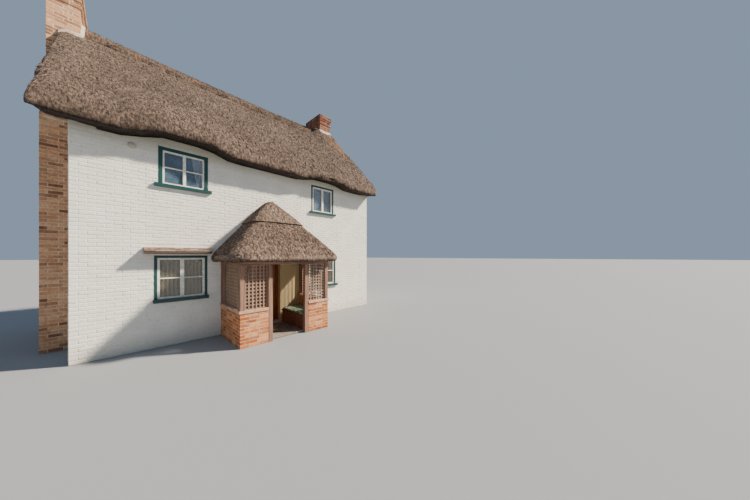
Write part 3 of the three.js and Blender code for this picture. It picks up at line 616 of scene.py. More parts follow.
def brushed_paint(name, colour_value, roughness, chipped):
    """Oil paint brushed on softwood: faint brush lines, dirt in the hollows and the
    odd chip down to old undercoat."""
    material, add, shader, place = new_material(name, roughness)
    stops = [(0.32, shaded(colour_value, 0.8)), (0.6, shaded(colour_value, 1.08))]
    # The coat varies over 70 mm, chips are 20 mm wide, brush lines drawn 11 mm apart to show
    brush = add("TexNoise", {"Vector": place, "Scale": 14.0, "Detail": 5.0})
    coat = add("ValToRGB", {"Fac": brush}, stops)
    chip = add("TexNoise", {"Vector": place, "Scale": 45.0, "Detail": 5.0})
    chips = add("MapRange", {"Value": chip, "From Min": 0.68, "From Max": 0.72, "To Max": chipped})
    worn = add("Mix", {0: chips, 6: coat, 7: rgba("#b7a893")})
    lines = add("TexNoise", {"Vector": place, "Scale": 90.0, "Detail": 3.0})
    bump = add("Bump", {"Height": lines, "Strength": 0.25, "Distance": 0.001})
    plug(shader, {"Base Color": worn, "Normal": bump})
    return material


def float_glass():
    """Float glass, two coated panes thick: clear, with a strong, sharp reflection, and a painted
    reflection of the sky in its colour that turns browner on the ground floor as a painted
    reflection of the ground."""
    # Both panes and the coating reflect, far more than the 1.52 of one bare surface
    material, add, shader, place = new_material("float_glass", 0.03, IOR=2.8, Alpha=0.3)
    # The painted sky reflection varies in patches about 300 mm wide, and the browner painted
    # reflection of the ground reaches up to 3.2 m
    reflection_noise = add("TexNoise", {"Vector": place, "Scale": 3.0, "Detail": 4.0})
    painted_sky_reflection = add("ValToRGB", {"Fac": reflection_noise}, [(0.35, rgba("#4d6a82")), (0.65, rgba("#7c98b2"))])
    height = add("SeparateXYZ", {"Vector": place}).outputs["Z"]
    near_ground = add(
        "MapRange", {"Value": height, "From Min": 2.2, "From Max": 3.2, "To Min": 1.0, "To Max": 0.0}
    )
    # Painted reflection of the ground, browner, on the lower windows
    painted_ground_reflection = add("Mix", {0: near_ground, 6: painted_sky_reflection, 7: rgba("#625f4e")})
    plug(shader, {"Base Color": painted_ground_reflection})
    material.surface_render_method = "BLENDED"
    return material


def woven_cotton(name, colour_value, thread, hollow, sheer=1.0):
    """Plain woven cotton: soft and dull, with a fine even weave and a little sheen. Less
    light reaches the hollows of its folds."""
    material, add, shader, place = new_material(
        name, 0.9, Sheen_Weight=0.3, Alpha=sheer, Specular_IOR_Level=0.2
    )
    # Threads are drawn several times too coarse, or they would not show at all
    weave = add(
        "TexWave",
        {"Vector": place, "Scale": 1.0 / (20 * thread), "Distortion": 1.5, "Detail": 2.0},
        wave_type="BANDS",
        bands_direction="Z",
    )
    stops = [(0.3, shaded(colour_value, 0.88)), (0.65, shaded(colour_value, 1.0))]
    cloud = add("TexNoise", {"Vector": place, "Scale": 6.0, "Detail": 3.0})
    tone = add("ValToRGB", {"Fac": cloud}, stops)
    fold = add("Attribute", attribute_name="tint").outputs["Fac"]
    lit = add("Mix", {0: fold, 6: shaded(colour_value, hollow), 7: tone})
    bump = add("Bump", {"Height": weave.outputs["Fac"], "Strength": 0.3, "Distance": 0.001})
    plug(shader, {"Base Color": lit, "Normal": bump})
    return material


def printed_cotton(ground):
    """Furnishing cotton printed with loose green and white leaf blots."""
    material, add, shader, place = new_material(
        "printed_cotton", 0.92, Sheen_Weight=0.25, Specular_IOR_Level=0.2
    )
    # Blots about 45 mm across, and a weave drawn 2 mm coarse to show at all
    blots = add("TexVoronoi", {"Vector": place, "Scale": 22.0})
    stops = [(0.28, rgba("#e9ead9")), (0.36, rgba("#9db084")), (0.5, shaded(ground, 1.0))]
    pattern = add("ValToRGB", {"Fac": blots.outputs["Distance"]}, stops)
    weave = add("TexNoise", {"Vector": place, "Scale": 420.0, "Detail": 2.0})
    bump = add("Bump", {"Height": weave, "Strength": 0.4, "Distance": 0.001})
    plug(shader, {"Base Color": pattern, "Normal": bump})
    return material


def cast_brass():
    """Cast brass, handled for years: warm and satin, duller in blotches."""
    material, add, shader, place = new_material("cast_brass", 0.35, Metallic=1.0)
    # Blotches about 20 mm across
    tarnish = add("TexNoise", {"Vector": place, "Scale": 50.0, "Detail": 4.0})
    tone = add("ValToRGB", {"Fac": tarnish}, [(0.3, rgba("#7c5a26")), (0.6, rgba("#c79d52"))])
    plug(shader, {"Base Color": tone})
    return material


MATERIALS = {}


def make_materials(scene):
    """Makes each material once, from the settings."""
    brickwork, thatch = scene.cottage_brickwork, scene.cottage_thatch
    joinery, soft = scene.cottage_joinery, scene.cottage_soft
    MATERIALS.update(
        wall=masonry_paint(brickwork),
        porch_brick=fired_clay("fired_clay_porch", brickwork.clay, "#a85630", "#e8a878"),
        chimney_brick=fired_clay("fired_clay_chimney", brickwork.old_clay, "#4c2a22", "#a8614a"),
        breast_brick=fired_clay("fired_clay_breast", linear("#e0a479"), "#9a6346", "#f0c096"),
        mortar=mineral("lime_mortar", "#d6bb94", "#b0946c"),
        breast_mortar=mineral("weathered_lime_mortar", "#e2d0b2", "#b09c7c"),
        dark_mortar=mineral("sooty_lime_mortar", "#a08a70", "#6b5a49"),
        flaunching=mineral("lime_flaunching", "#cfc2ae", "#9c8c78"),
        thatch=water_reed("weathered_water_reed", thatch, 1.0, 0.75),
        porch_thatch=water_reed("water_reed_of_the_porch", thatch, 1.6),
        ridge=water_reed("sedge_ridge", thatch, 0.9, 0.85),
        green=brushed_paint("green_gloss_paint", joinery.frame_paint, 0.35, 0.5),
        white=brushed_paint("white_satin_paint", joinery.sash_paint, 0.45, 0.25),
        glass=float_glass(),
        oak_up=timber("weathered_oak_upright", joinery.oak, 2),
        oak_x=timber("weathered_oak_along_x", joinery.oak, 0),
        oak_y=timber("weathered_oak_along_y", joinery.oak, 1),
        # The hood's fascia is a darker oak than the porch's
        fascia=timber("dark_oak_fascia", linear("#6f5a50"), 0),
        lath=timber("bleached_oak_lath", linear("#a88d79"), 2),
        door=timber("varnished_oak", joinery.door, 2, 0.4, 0.6, 0.4, 0.4),
        bench=timber("stained_pine", linear("#7d4a38"), 2, 0.6, 0.6, 0.1, 0.5),
        deal=timber("deal_boards", linear("#8a6a4c"), 0, 0.6, 0.7, 0.0, 0.5),
        stone=mineral("sawn_limestone", "#d8cbb6", "#a99c86", 0.85, 6.0),
        coping=mineral("sandstone_coping", "#d3ae98", "#a8826d", 0.85, 12.0),
        slab=mineral("worn_sandstone_slab", "#9c9287", "#655d54", 0.65, 5.0),
        tile=fired_clay("clay_tile", linear("#8f7b6b"), "#6a574b", "#b09c8a"),
        curtain=woven_cotton("lined_cotton", soft.curtain, 0.004, 0.25),
        net=woven_cotton("cotton_voile", soft.net, 0.003, 0.75, 0.72),
        cushion=printed_cotton(soft.cushion),
        brass=cast_brass(),
        # Painted shade: the wall light's enamel is greyed to its look in the shade of the eaves
        enamel=brushed_paint("enamel_greyed_as_shaded", linear("#bcbaab"), 0.4, 0.0),
        soot=mineral("soot", "#2a2421", "#14110f", 0.95),
    )


# Brickwork

HOLES = {
    "upper_left": (-2.595, -1.686, 3.52, 4.41),
    "upper_right": (1.207, 2.112, 3.43, 4.38),
    "lower_left": (-2.663, -1.698, 0.98, 2.01),
    "lower_right": (1.22, 2.2, 0.95, 2.0),
}
SILL_SIDES = {"upper_left": 0.074, "upper_right": 0.074, "lower_left": 0.024, "lower_right": 0.074}
SILL_HEIGHT = 0.072
PORCH_X = (-1.305, 0.749)
PORCH_WALL_TOP = 2.12
EAVES_Z = 4.37
BELOW_ROOF, ABOVE_ROOF, SAMPLES, TUCKED = 3.0, 9.0, 60, 0.003
HOOD_SPAN = (-2.84, -1.64, 2.035, 2.19)
HOOD_FALL = 0.09
HOOD_TILES = (-2.828, -1.652)
TILE_WIDTH, TILE_LENGTH, TILE_GAUGE, TILE_HALF = 0.169, 0.2, 0.11, 0.0065
TILE_KICK, TILE_TUCK, TILE_STOP = 5.0, 0.06, 0.02
LIGHT_X, LIGHT_Z, LIGHT_RIM, LENS, LENS_SUNK = -3.0, 4.27, 0.006, 0.022, 0.008
POST, PLATE_HALF, PLATE_FRONT, WORN_EDGE = 0.1, 1.0, -3.8, 0.007
LOFT_Z, ROOF_FALL = 7.26, 1.0176
SLOPE_AREA = 42.0
LAP = 0.09
BREAST_HALF, NECK_HALF = 1.2, 0.53
SHOULDER_Z, NECK_Z = 4.9, 5.75
WALL_CLEARED, SOOT_TOP = 6.6, 8.3
SHOULDER_BRICK = 0.245
LONG_STRETCHER, CLOSER, SLACK = 1.12, 0.74, 0.002
KILN_TINT, SHOULDER_TINT, SOOT = (0.5, 0.24), (0.45, 0.2), 0.35
LEFT_STACK = (-4.297, -3.8075, -0.53, 0.53)
RIGHT_STACK = (2.875, 3.405, -0.53, 0.53)
FLUE_WALL, FLUE_DEPTH, FLUE_FOOT, FLUE_TAPER, FLAUNCHING = 0.1, 0.35, 7.6, 0.92, 0.075
HEAP, HEAP_REACH_X, HEAP_REACH_Y = 0.34, 0.6, 0.9
STACK_HEAD = (
    (7.85, 7.925, 0.022),
    (7.925, 8.01, 0.0),
    (8.01, 8.085, 0.022),
    (8.085, 8.16, 0.045),
    (8.16, 8.235, 0.045),
)


def turned(degrees, axis="Z"):
    return np.array(Matrix.Rotation(math.radians(degrees), 3, axis))


def front_gaps(low, high):
    """What a course of the front wall leaves out."""
    gaps = rear_gaps(low, high)
    if low < PORCH_WALL_TOP:
        gaps.append(PORCH_X)
    if low < HOOD_SPAN[3] and high > HOOD_SPAN[2]:
        gaps.append(HOOD_SPAN[:2])
    return gaps


def rear_gaps(low, high):
    gaps = []
    for place, (left, right, bottom, top) in HOLES.items():
        if low < top and high > bottom:
            side = SILL_SIDES[place] if low < bottom + SILL_HEIGHT else CLEAR
            gaps.append((left - side, right + side))
    return gaps


def breast_half(z):
    """Half the width of the left chimney at a height."""
    share = (z - SHOULDER_Z) / (NECK_Z - SHOULDER_Z)
    return BREAST_HALF + (NECK_HALF - BREAST_HALF) * min(1.0, max(0.0, share))


def left_gable_gaps(low, high):
    reach = breast_half(low) + CLEAR
    return [(-reach, reach)]


def under_thatch(node, y):
    """Height of the thatch's underside along a wall face, as a function of x."""
    xs = np.linspace(-WALL_X, WALL_X, SAMPLES)
    heights = []
    for x in xs:
        hit, place, *_ = NODES[node].ray_cast((x, y, BELOW_ROOF), (0, 0, 1))
        heights.append(place.z if hit else heights[-1] if heights else EAVES_Z)
    return lambda span: float(np.interp(span, xs, heights).min()) - TUCKED


def under_verge(span):
    return LOFT_Z - ROOF_FALL * max(abs(span[0]), abs(span[1])) - CLEAR


def painted_face(name, settings, half, point, turn, gaps_at, top_at):
    """Half-bonded courses of painted bricks over one wall face. point turns a place
    along the wall, a distance out of its face and a height into a point."""
    course, unit, joint = settings.course, settings.brick, settings.joint
    rng = random.Random(name)
    places = []
    for i in range(math.ceil(LOFT_Z / course)):
        low, high = i * course + joint / 2, (i + 1) * course - joint / 2
        first = -half - (i % 2) * unit / 2
        for k in range(math.ceil(2 * half / unit) + 1):
            start = first + k * unit
            whole = (max(start, -half), min(start + unit - joint, half))
            for a, b in without(whole, gaps_at(low, high)):
                top = min(high, top_at((a, b)))
                if top - low < LEAST_SPLIT:
                    continue
                out = settings.relief * rng.uniform(0.5, 1.2)
                middle = point((a + b) / 2, (out - BEDDED) / 2, (low + top) / 2)
                extent = ((b - a) / 2, (out + BEDDED) / 2, (top - low) / 2)
                places.append((middle, extent, turn, rng.random()))
    return lay(name, painted_brick_model(settings.relief), places)


def ring(low, high, box, odd, settings, rng, against_wall, soot):
    """One course of bricks round a stack, quoined at alternate ends. Where the stack
    stands against the house, its face towards +X is left out."""
    depth, joint = settings.depth, settings.joint
    long_unit = settings.brick * LONG_STRETCHER
    places = []

    def lengths(a, b):
        count = math.ceil((b - a + joint) / long_unit)
        if odd or count > 2:
            return run(a, b, (b - a + joint) / count, joint)
        closer = a + CLOSER * (b - a)
        return [(a, closer), (closer + joint, b)]

    # The faces to the front and the rear come first, then those at the sides
    for across, along, whole in ((1, 0, odd), (0, 1, not odd)):
        inset = 0.0 if whole else depth + joint
        bricks = lengths(box[2 * along] + inset, box[2 * along + 1] - inset)
        for way, edge in ((1, box[2 * across]), (-1, box[2 * across + 1])):
            if against_wall and across == 0 and way < 0:
                continue
            near, far = sorted((edge, edge + way * depth))
            for a, b in bricks:
                shift = way * rng.uniform(0, SLACK)
                first, last = [0, 0, low], [0, 0, high]
                first[along], last[along] = a, b
                first[across], last[across] = near + shift, far + shift
                tint = max(0.0, min(1.0, rng.gauss(*KILN_TINT) - soot))
                places.append((*spot(first, last), None, tint))
    return places


def stack_courses(bottom, settings):
    """Course heights of a stack from a height to its head, with how far each juts out."""
    plain = [(a, b, 0.0) for a, b in run(bottom, STACK_HEAD[0][0], settings.course, 0.0)]
    half_joint = settings.joint / 2
    return [(a + half_joint, b - half_joint, out) for a, b, out in [*plain, *STACK_HEAD]]


def stack_bricks(name, box, bottom, settings, half_at, soot_from):
    rng = random.Random(name)
    places = []
    for i, (low, high, out) in enumerate(stack_courses(bottom, settings)):
        half = half_at(high)
        against_wall = name.startswith("left") and high < WALL_CLEARED
        right = box[1] if against_wall else box[1] + out
        shape = (box[0] - out, right, -half - out, half + out)
        soot = SOOT * max(0.0, (high - soot_from) / (SOOT_TOP - soot_from))
        places += ring(low, high, shape, i % 2, settings, rng, against_wall, soot)
    return places


def tumbled_shoulders(settings):
    """Bricks laid square to the slope on both shoulders of the left chimney."""
    rng = random.Random("shoulders")
    run_out, rise = BREAST_HALF - NECK_HALF, NECK_Z - SHOULDER_Z
    slope = math.hypot(run_out, rise)
    lean = math.degrees(math.atan2(run_out, rise))
    # They stand just proud of the level courses, so that no two faces coincide
    outer, proud = LEFT_STACK[0] - 0.002, 0.003
    places = []
    for side in (-1, 1):
        turn = turned(side * lean, "X")
        normal = Vector((0, side * rise, run_out)) / slope
        for i, (a, b) in enumerate(run(0.0, slope, settings.course, settings.joint)):
            share = (a + b) / 2 / slope
            y = side * (BREAST_HALF - run_out * share)
            z = SHOULDER_Z + rise * share
            inset = 0.0 if i % 2 else SHOULDER_BRICK / 2
            spans = run(outer, LEFT_STACK[1] - inset, SHOULDER_BRICK, settings.joint)
            if inset:
                spans.append((LEFT_STACK[1] - inset + settings.joint, LEFT_STACK[1]))
            for x0, x1 in spans:
                centre = Vector(((x0 + x1) / 2, y, z)) - normal * (settings.depth / 2 - proud)
                half = ((x1 - x0) / 2, settings.depth / 2, (b - a) / 2)
                places.append((np.array(centre), half, turn, rng.gauss(*SHOULDER_TINT)))
    return places


def mortar_core(node, name, box):
    """The stack's own solid drawn in to the depth of its joints, with a flue in its top."""
    core = drawn_in(node, name)
    top = max(v.co.z for v in core.data.vertices)
    with editing(core):
        pick(core, lambda f: f.normal.z > 0.9 and f.calc_center_median().z > top - 0.01)
        bpy.ops.mesh.inset(thickness=FLUE_WALL, use_even_offset=True)
        bpy.ops.mesh.extrude_region_move(TRANSFORM_OT_translate={"value": (0, 0, -FLUE_DEPTH)})
        foot = ((box[0] + box[1]) / 2, 0, top - FLUE_DEPTH)
        bpy.ops.transform.resize(value=(FLUE_TAPER, FLUE_TAPER, 1), center_override=foot)
    for face in core.data.polygons:
        x, y, z = face.center
        if z > top - FLAUNCHING:
            face.material_index = 1
        in_flue = abs(y) < 0.4 and box[0] + FLUE_WALL < x < box[1] - FLUE_WALL
        if in_flue and FLUE_FOOT < z < top - 0.02:
            face.material_index = 2
    return core


def heap(x, y):
    """How far the thatch is dressed up round the right stack, so that it meets the
    stack's front almost level with the ridge."""
    x0, x1, _, half = RIGHT_STACK
    beside = np.maximum(0.0, np.maximum(x0 - x, x - x1)) / HEAP_REACH_X
    before = np.maximum(0.0, np.abs(y) - half) / HEAP_REACH_Y
    share = np.maximum(0.0, 1.0 - np.hypot(beside, before))
    return HEAP * share * share * (3 - 2 * share) * np.minimum(1.0, np.abs(y) / half)


def roof_height(x, y):
    """Height of the finished thatch under a point, or None beside the roof."""
    found = []
    for node in ("thatch_front", "thatch_rear", "thatch_ridge", "thatch_ridge_end"):
        hit, place, *_ = NODES[node].ray_cast((x, y, ABOVE_ROOF), (0, 0, -1))
        if hit:
            found.append(place.z)
    return max(found) + float(heap(x, y)) if found else None


def mortar_collar(name, path, closed):
    """A haunch of mortar between a stack and the thatch. path gives places on the
    stack's faces, each with the way out of its face."""
    reach, up, lip, deep, bite = 0.05, 0.06, 0.012, 0.12, 0.01
    sections = []
    for x, y, out_x, out_y in path:
        near = roof_height(x + out_x * 0.015, y + out_y * 0.015)
        far = roof_height(x + out_x * reach, y + out_y * reach)
        if near is None or far is None:
            continue
        inner = (x - out_x * bite, y - out_y * bite)
        outer = (x + out_x * reach, y + out_y * reach)
        upper = [(*inner, near + up), (*outer, far + lip)]
        sections.append([*upper, (*outer, far - deep), (*inner, near - deep)])
    count = len(sections)
    points = [point for section in sections for point in section]
    faces = []
    for i in range(count if closed else count - 1):
        j = (i + 1) % count
        for k in range(4):
            m = (k + 1) % 4
            faces.append((i * 4 + k, i * 4 + m, j * 4 + m, j * 4 + k))
    if not closed:
        faces += [(3, 2, 1, 0), tuple((count - 1) * 4 + k for k in range(4))]
    piece = mesh_piece(name, points, faces)
    with editing(piece):
        bpy.ops.mesh.select_all(action="SELECT")
        bpy.ops.mesh.normals_make_consistent(inside=False)
        bpy.ops.mesh.subdivide(number_cuts=1)
    roughen(piece, name + "_trowelled", 0.07, 0.016, 0.5)
    smooth(piece, 50)
    return piece


def around(box, steps=10):
    """Places along the four faces of a stack and at its corners, each with the way out."""
    x0, x1, y0, y1 = box
    corners = ((x0, y0), (x1, y0), (x1, y1), (x0, y1), (x0, y0))
    ways = ((0, -1), (1, 0), (0, 1), (-1, 0), (0, -1))
    path = []
    for i in range(4):
        (ax, ay), (bx, by) = corners[i : i + 2]
        for k in range(steps):
            share = (k + 0.5) / steps
            path.append((ax + (bx - ax) * share, ay + (by - ay) * share, *ways[i]))
        path.append((bx, by, *[0.7 * (a + b) for a, b in zip(*ways[i : i + 2])]))
    return path


# Thatch

HIDDEN_BELOW, CUT_BELOW, STRAY = -0.15, 0.4, 0.16
HOLLOW_SIZE, UNSHADED_TINT = 0.28, 0.42


def surface_of(piece):
    """Centres, normals and areas of a mesh's faces."""
    faces = piece.data.polygons
    areas = values_of(faces, "area", 1)[:, 0]
    return values_of(faces, "center"), values_of(faces, "normal"), areas


def unit_rows(rows):
    return rows / np.maximum(np.linalg.norm(rows, axis=1, keepdims=True), 1e-9)


def add_reed_ends(piece, count, reed, thickness, seed, voxel):
    """Loose ends of reed over a thatch's upper faces, each a thin closed spike that
    points down the slope, and short ends where the eaves are cut."""
    rng = np.random.default_rng(seed)
    centres, normals, areas = surface_of(piece)
    shown = np.where(normals[:, 2] > HIDDEN_BELOW)[0]
    share = areas[shown] / areas[shown].sum()
    chosen = rng.choice(shown, count, p=share)
    n = normals[chosen]
    p = centres[chosen] + (rng.random((count, 3)) - 0.5) * voxel * 1.4
    p -= n * np.sum((p - centres[chosen]) * n, axis=1, keepdims=True)
    down = np.array([0.0, 0.0, -1.0])
    along = unit_rows(down - n * (n @ down)[:, None])
    cut = n[:, 2] < CUT_BELOW
    along[cut] = unit_rows(along[cut] * 0.55 + n[cut] * 0.8)
    side = unit_rows(np.cross(n, along))
    yaw = rng.normal(0, STRAY, (count, 1))
    along = unit_rows(along + side * yaw)
    side = unit_rows(np.cross(n, along))
    long = reed * rng.uniform(0.6, 1.25, (count, 1))
    long[cut] = reed * 0.3
    wide = thickness * rng.uniform(0.6, 1.3, (count, 1))
    lift = np.where(cut[:, None], 0.0, rng.uniform(0.001, 0.01, (count, 1)))
    root = p - n * np.where(cut[:, None], 0.02, 0.003) - along * long * 0.4
    left, right = root - side * wide / 2, root + side * wide / 2
    top = root + n * wide * 0.7
    tip = root + along * long + n * lift
    spikes = np.stack([left, right, top, tip], axis=1).reshape(-1, 3)
    start = np.arange(count)[:, None] * 4
    pattern = np.array([[0, 2, 1], [0, 1, 3], [1, 2, 3], [2, 0, 3]])
    faces = (start[:, None, :] + pattern[None]).reshape(-1, 3)
    ends = mesh_piece(piece.name + "_ends", spikes.tolist(), faces.tolist())
    set_tint(ends, np.repeat(rng.random(count), 4))
    # Painted shade: the body's tint falls off as its faces turn down, so the cut underside of the
    # eaves is painted dark as if out of the light
    upward = values_of(piece.data.vertices, "normal")[:, 2]
    set_tint(piece, UNSHADED_TINT * np.clip((upward + 0.7) / 0.6, 0.0, 1.0))
    return joined(piece.name, piece, ends)


def dress_up_to_stack(piece):
    """Lifts the upper surface of a thatch beside the right stack."""
    vertices = piece.data.vertices
    places, ways = values_of(vertices, "co"), values_of(vertices, "normal")
    places[:, 2] += np.where(ways[:, 2] > 0, heap(places[:, 0], places[:, 1]), 0.0)
    vertices.foreach_set("co", places.ravel())
    piece.data.update()


def dress_thatch(name, node, voxel, lump, count, reed, thickness, seed, sink=0.0, lap=0.0):
    """A thatch solid with its surface made uneven and its reed ends added. sink takes
    the underside of a ridge down into the slopes below it, and lap takes the upper edge
    of a slope over the middle, so that the two slopes meet without a slit."""
    piece = copy_of(node, name)
    if lap:
        with editing(piece):
            pick(piece, lambda f: abs(f.calc_center_median().y) < 0.02)
            bpy.ops.transform.translate(value=(0, lap, -abs(lap) * ROOF_FALL))
    if sink:
        with editing(piece):
            pick(piece, lambda f: f.normal.z < -0.3)
            bpy.ops.transform.translate(value=(0, 0, -sink))
    refine(piece, "REMESH", mode="VOXEL", voxel_size=voxel, use_smooth_shade=True)
    if not name.startswith("porch"):
        dress_up_to_stack(piece)
    roughen(piece, name + "_hollows", HOLLOW_SIZE, lump, 0.85)
    roughen(piece, name + "_tufts", voxel * 1.6, lump * 0.5, 0.7)
    return add_reed_ends(piece, count, reed, thickness, seed, voxel)


# Windows and doors

DOOR_X, DOOR_Y = (-0.73, 0.078), (-2.33, -2.285)
GROOVE = 0.005
FRAME_FACE, STILE_FACE = (0.052, 0.02), (0.0943, 0.009)
MEETING_STILES, GLAZING_BAR = (0.035, 0.007), (0.011, 0.002)
SASH_FOOT, SASH_HEAD = 0.0703, 0.0523


def fit_joinery(piece, place):
    """Widens the upper left window's frame inwards by 20 mm and takes its casements and
    glass in by as much, with slimmer stiles and bars than the solids have."""
    left, right, bottom, top = HOLES[place]
    middle, bar = (left + right) / 2, (bottom + SASH_FOOT + top - SASH_HEAD) / 2
    moves = []
    for inset, shift in (FRAME_FACE, STILE_FACE):
        moves += [(0, left + inset, shift), (0, right - inset, -shift), (2, top - inset, -shift)]
    for axis, line, (half, shift) in ((0, middle, MEETING_STILES), (2, bar, GLAZING_BAR)):
        moves += [(axis, line - half, shift), (axis, line + half, -shift)]
    vertices = piece.data.vertices
    places = values_of(vertices, "co")
    fitted = places.copy()
    for axis, line, shift in moves:
        fitted[np.abs(places[:, axis] - line) < 0.002, axis] += shift
    vertices.foreach_set("co", fitted.ravel())
    piece.data.update()


def glazing(place, side):
    """The frame, casements and glass of one window, at the front or, turned round, at
    the rear."""
    left, right, *_ = HOLES[place]
    made = []
    for part, width, material in (
        ("window_frame", 0.004, "green"),
        ("casements", 0.003, "white"),
        ("glass", 0.0, "glass"),
    ):
        name = f"{side}_{place}_{part}_dressed"
        piece = copy_of(f"{place}_{part}", name)
        if place == "upper_left":
            fit_joinery(piece, place)
        if width:
            ease(piece, width)
        if side == "rear":
            piece.rotation_euler = (0, 0, math.pi)
            piece.location = (left + right, 0, 0)
            settle(piece)
        made.append(dress(piece, material))
    return made


def hung_cloth(name, x0, x1, low, high, y, settings, swept, depth, seed):
    """A gathered curtain, folded like a wave along its width, with deeper folds lower
    down. swept draws the lower part towards its right edge."""
    folds = max(2, round((x1 - x0) / settings.fold))
    columns, rows = folds * 10, 24
    bpy.ops.object.select_all(action="DESELECT")
    bpy.ops.mesh.primitive_grid_add(x_subdivisions=columns, y_subdivisions=rows, size=1)
    piece = named(bpy.context.active_object, name)
    rng = random.Random(seed)
    phase = [rng.uniform(-0.5, 0.5) for _ in range(folds + 2)]
    crests = []
    for vertex in piece.data.vertices:
        across, up = vertex.co.x + 0.5, vertex.co.y + 0.5
        fold = across * folds
        wander = phase[int(fold)] * (fold % 1) * (1 - fold % 1) * 2
        wave = math.sin(2 * math.pi * fold + wander + 0.5 * math.sin(3 * up))
        drawn = swept * (1 - up) ** 1.4
        start = x0 + (x1 - x0) * drawn
        vertex.co.x = start + (x1 - start) * across
        vertex.co.z = low + (high - low) * up
        vertex.co.y = y + depth * wave * (0.55 + 0.45 * (1 - up))
        crests.append(0.5 - 0.5 * wave)
    set_tint(piece, crests)
    points = [v.co.copy() for v in piece.data.vertices]
    first = (columns + 1) * (rows // 2)
    flat_width = sum((points[i + 1] - points[i]).length for i in range(first, first + columns))
    refine(piece, "SOLIDIFY", thickness=0.0015, offset=0.0)
    with editing(piece):
        bpy.ops.mesh.select_all(action="SELECT")
        bpy.ops.mesh.normals_make_consistent(inside=False)
    smooth(piece, 60)
    return piece, (flat_width, high - low)


def grooved_door(name, board):
    """The front door with a V groove between its boards on both faces."""
    leaf = copy_of("front_door", name)
    (left, right), (outer, inner) = DOOR_X, DOOR_Y
    count = round((right - left) / board)
    lines = [left + (right - left) * i / count for i in range(1, count)]
    with editing(leaf):
        for x in lines:
            for shift in (-GROOVE, 0.0, GROOVE):
                bpy.ops.mesh.select_all(action="SELECT")
                bpy.ops.mesh.bisect(plane_co=(x + shift, 0, 0), plane_no=(1, 0, 0))
        mesh = bmesh.from_edit_mesh(leaf.data)
        for vertex in mesh.verts:
            if any(abs(vertex.co.x - x) < 0.0005 for x in lines):
                if abs(vertex.co.y - outer) < 0.001:
                    vertex.co.y += GROOVE
                elif abs(vertex.co.y - inner) < 0.001:
                    vertex.co.y -= GROOVE
        bmesh.update_edit_mesh(leaf.data)
    return leaf


# Porch


def l_course(box_leg, box_front, odd, low, high, settings, rng):
    """One course of an L-shaped dwarf wall. The leg runs back to the house, and the
    front meets it at the corner, which the two take in turn."""
    joint = settings.joint
    (lx0, lx1, ly0, ly1), (fx0, fx1, fy0, fy1) = box_leg, box_front
    leg_on_left = lx0 < fx0
    leg_start = ly0 if odd else fy1 + joint
    if odd:
        front = (lx1 + joint, fx1) if leg_on_left else (fx0, lx0 - joint)
    else:
        front = (lx0, fx1) if leg_on_left else (fx0, lx1)
    places = []
    for a, b in run(leg_start, ly1, settings.brick, joint):
        places.append((*spot((lx0, a, low), (lx1, b, high)), None, rng.random()))
    for a, b in run(*front, settings.brick, joint):
        places.append((*spot((a, fy0, low), (b, fy1, high)), None, rng.random()))
    return places


def trellis(name, node, across, settings):
    """Two layers of laths crossing in one panel. across is 0 for a panel along X and 1
    for one along Y, which ends at the post against the house."""
    low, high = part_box(node)
    if across:
        high[across] -= POST
    pitch, gap = settings.trellis_pitch, settings.trellis_pitch - settings.lath
    middle = (low[1 - across] + high[1 - across]) / 2
    rng = random.Random(name)
    places = []

    def add(a0, a1, z0, z1, d0, d1):
        near, far = [0, 0, z0], [0, 0, z1]
        near[across], far[across] = a0, a1
        near[1 - across], far[1 - across] = d0, d1
        places.append((*spot(near, far), None, rng.random()))

    for a, b in run(low[across], high[across], pitch, gap):
        slack = rng.uniform(-0.002, 0.002)
        add(a + slack, b + slack, low.z, high.z, middle - 0.008, middle)
    for a, b in run(low.z, high.z, pitch, gap):
        add(low[across], high[across], a, b, middle, middle + 0.008)
    return lay(name, model_of("lath_model", (0.1, 0.005, 0.015), 0.002), places)


def slabs(name, low, high, size, joint, seed):
    """Flat slabs in straight rows with joints between them."""
    rng = random.Random(seed)
    places = []
    for x0, x1 in run(low[0], high[0], size, joint):
        for y0, y1 in run(low[1], high[1], size, joint):
            drop = rng.uniform(0, 0.002)
            places.append((*spot((x0, y0, low[2]), (x1, y1, high[2] - drop)), None, rng.random()))
    return lay(name, model_of("slab_model", (0.2, 0.2, 0.02), 0.005, 2), places)


# Operators

EYE, VIEW = (-3.18, -9.53, 2.0), (0.7295, 0.6839)
TO_SUN, SUN_PLACE, SUN_DEGREES = (0.63, -0.43, 0.6), (12, -9, 14), 4
LENS_MM, SENSOR_MM, SHIFT = 11.52, 36, 0.008
FRONT_BOARD, SEAT_BOARD = 0.105, 0.176
SLAB, SLAB_JOINT, SLAB_FOOT = 0.42, 0.008, 0.012


class COTTAGE_OT_walls(bpy.types.Operator):
    """Lay the painted brick faces of the four walls and finish the floors"""

    bl_idname = "cottage.walls"
    bl_label = "Walls and floors"

    def execute(self, context):
        settings = context.scene.cottage_brickwork
        make_materials(context.scene)
        front_top = under_thatch("thatch_front", -WALL_Y - 0.002)
        rear_top = under_thatch("thatch_rear", WALL_Y + 0.002)

        def front(u, out, z):
            return (u, -WALL_Y - out, z)

        def rear(u, out, z):
            return (u, WALL_Y + out, z)

        def left(u, out, z):
            return (-WALL_X - out, u, z)

        def right(u, out, z):
            return (WALL_X + out, u, z)

        for side, *laid in (
            ("front", WALL_X, front, None, front_gaps, front_top),
            ("rear", WALL_X, rear, turned(180), rear_gaps, rear_top),
            ("left_gable", WALL_Y, left, turned(-90), left_gable_gaps, under_verge),
            ("right_gable", WALL_Y, right, turned(90), lambda low, high: [], under_verge),
        ):
            piece = painted_face("painted_bricks_" + side, settings, *laid)
            place_piece(dress(piece, "wall"), "painted_brick")
        for node in NODES:
            if node.endswith("_wall") or node.startswith("front_wall"):
                dress(NODES[node], "wall")
        dress(NODES["ground_floor"], "stone")
        dress(NODES["upper_floor"], "deal")
        return {"FINISHED"}


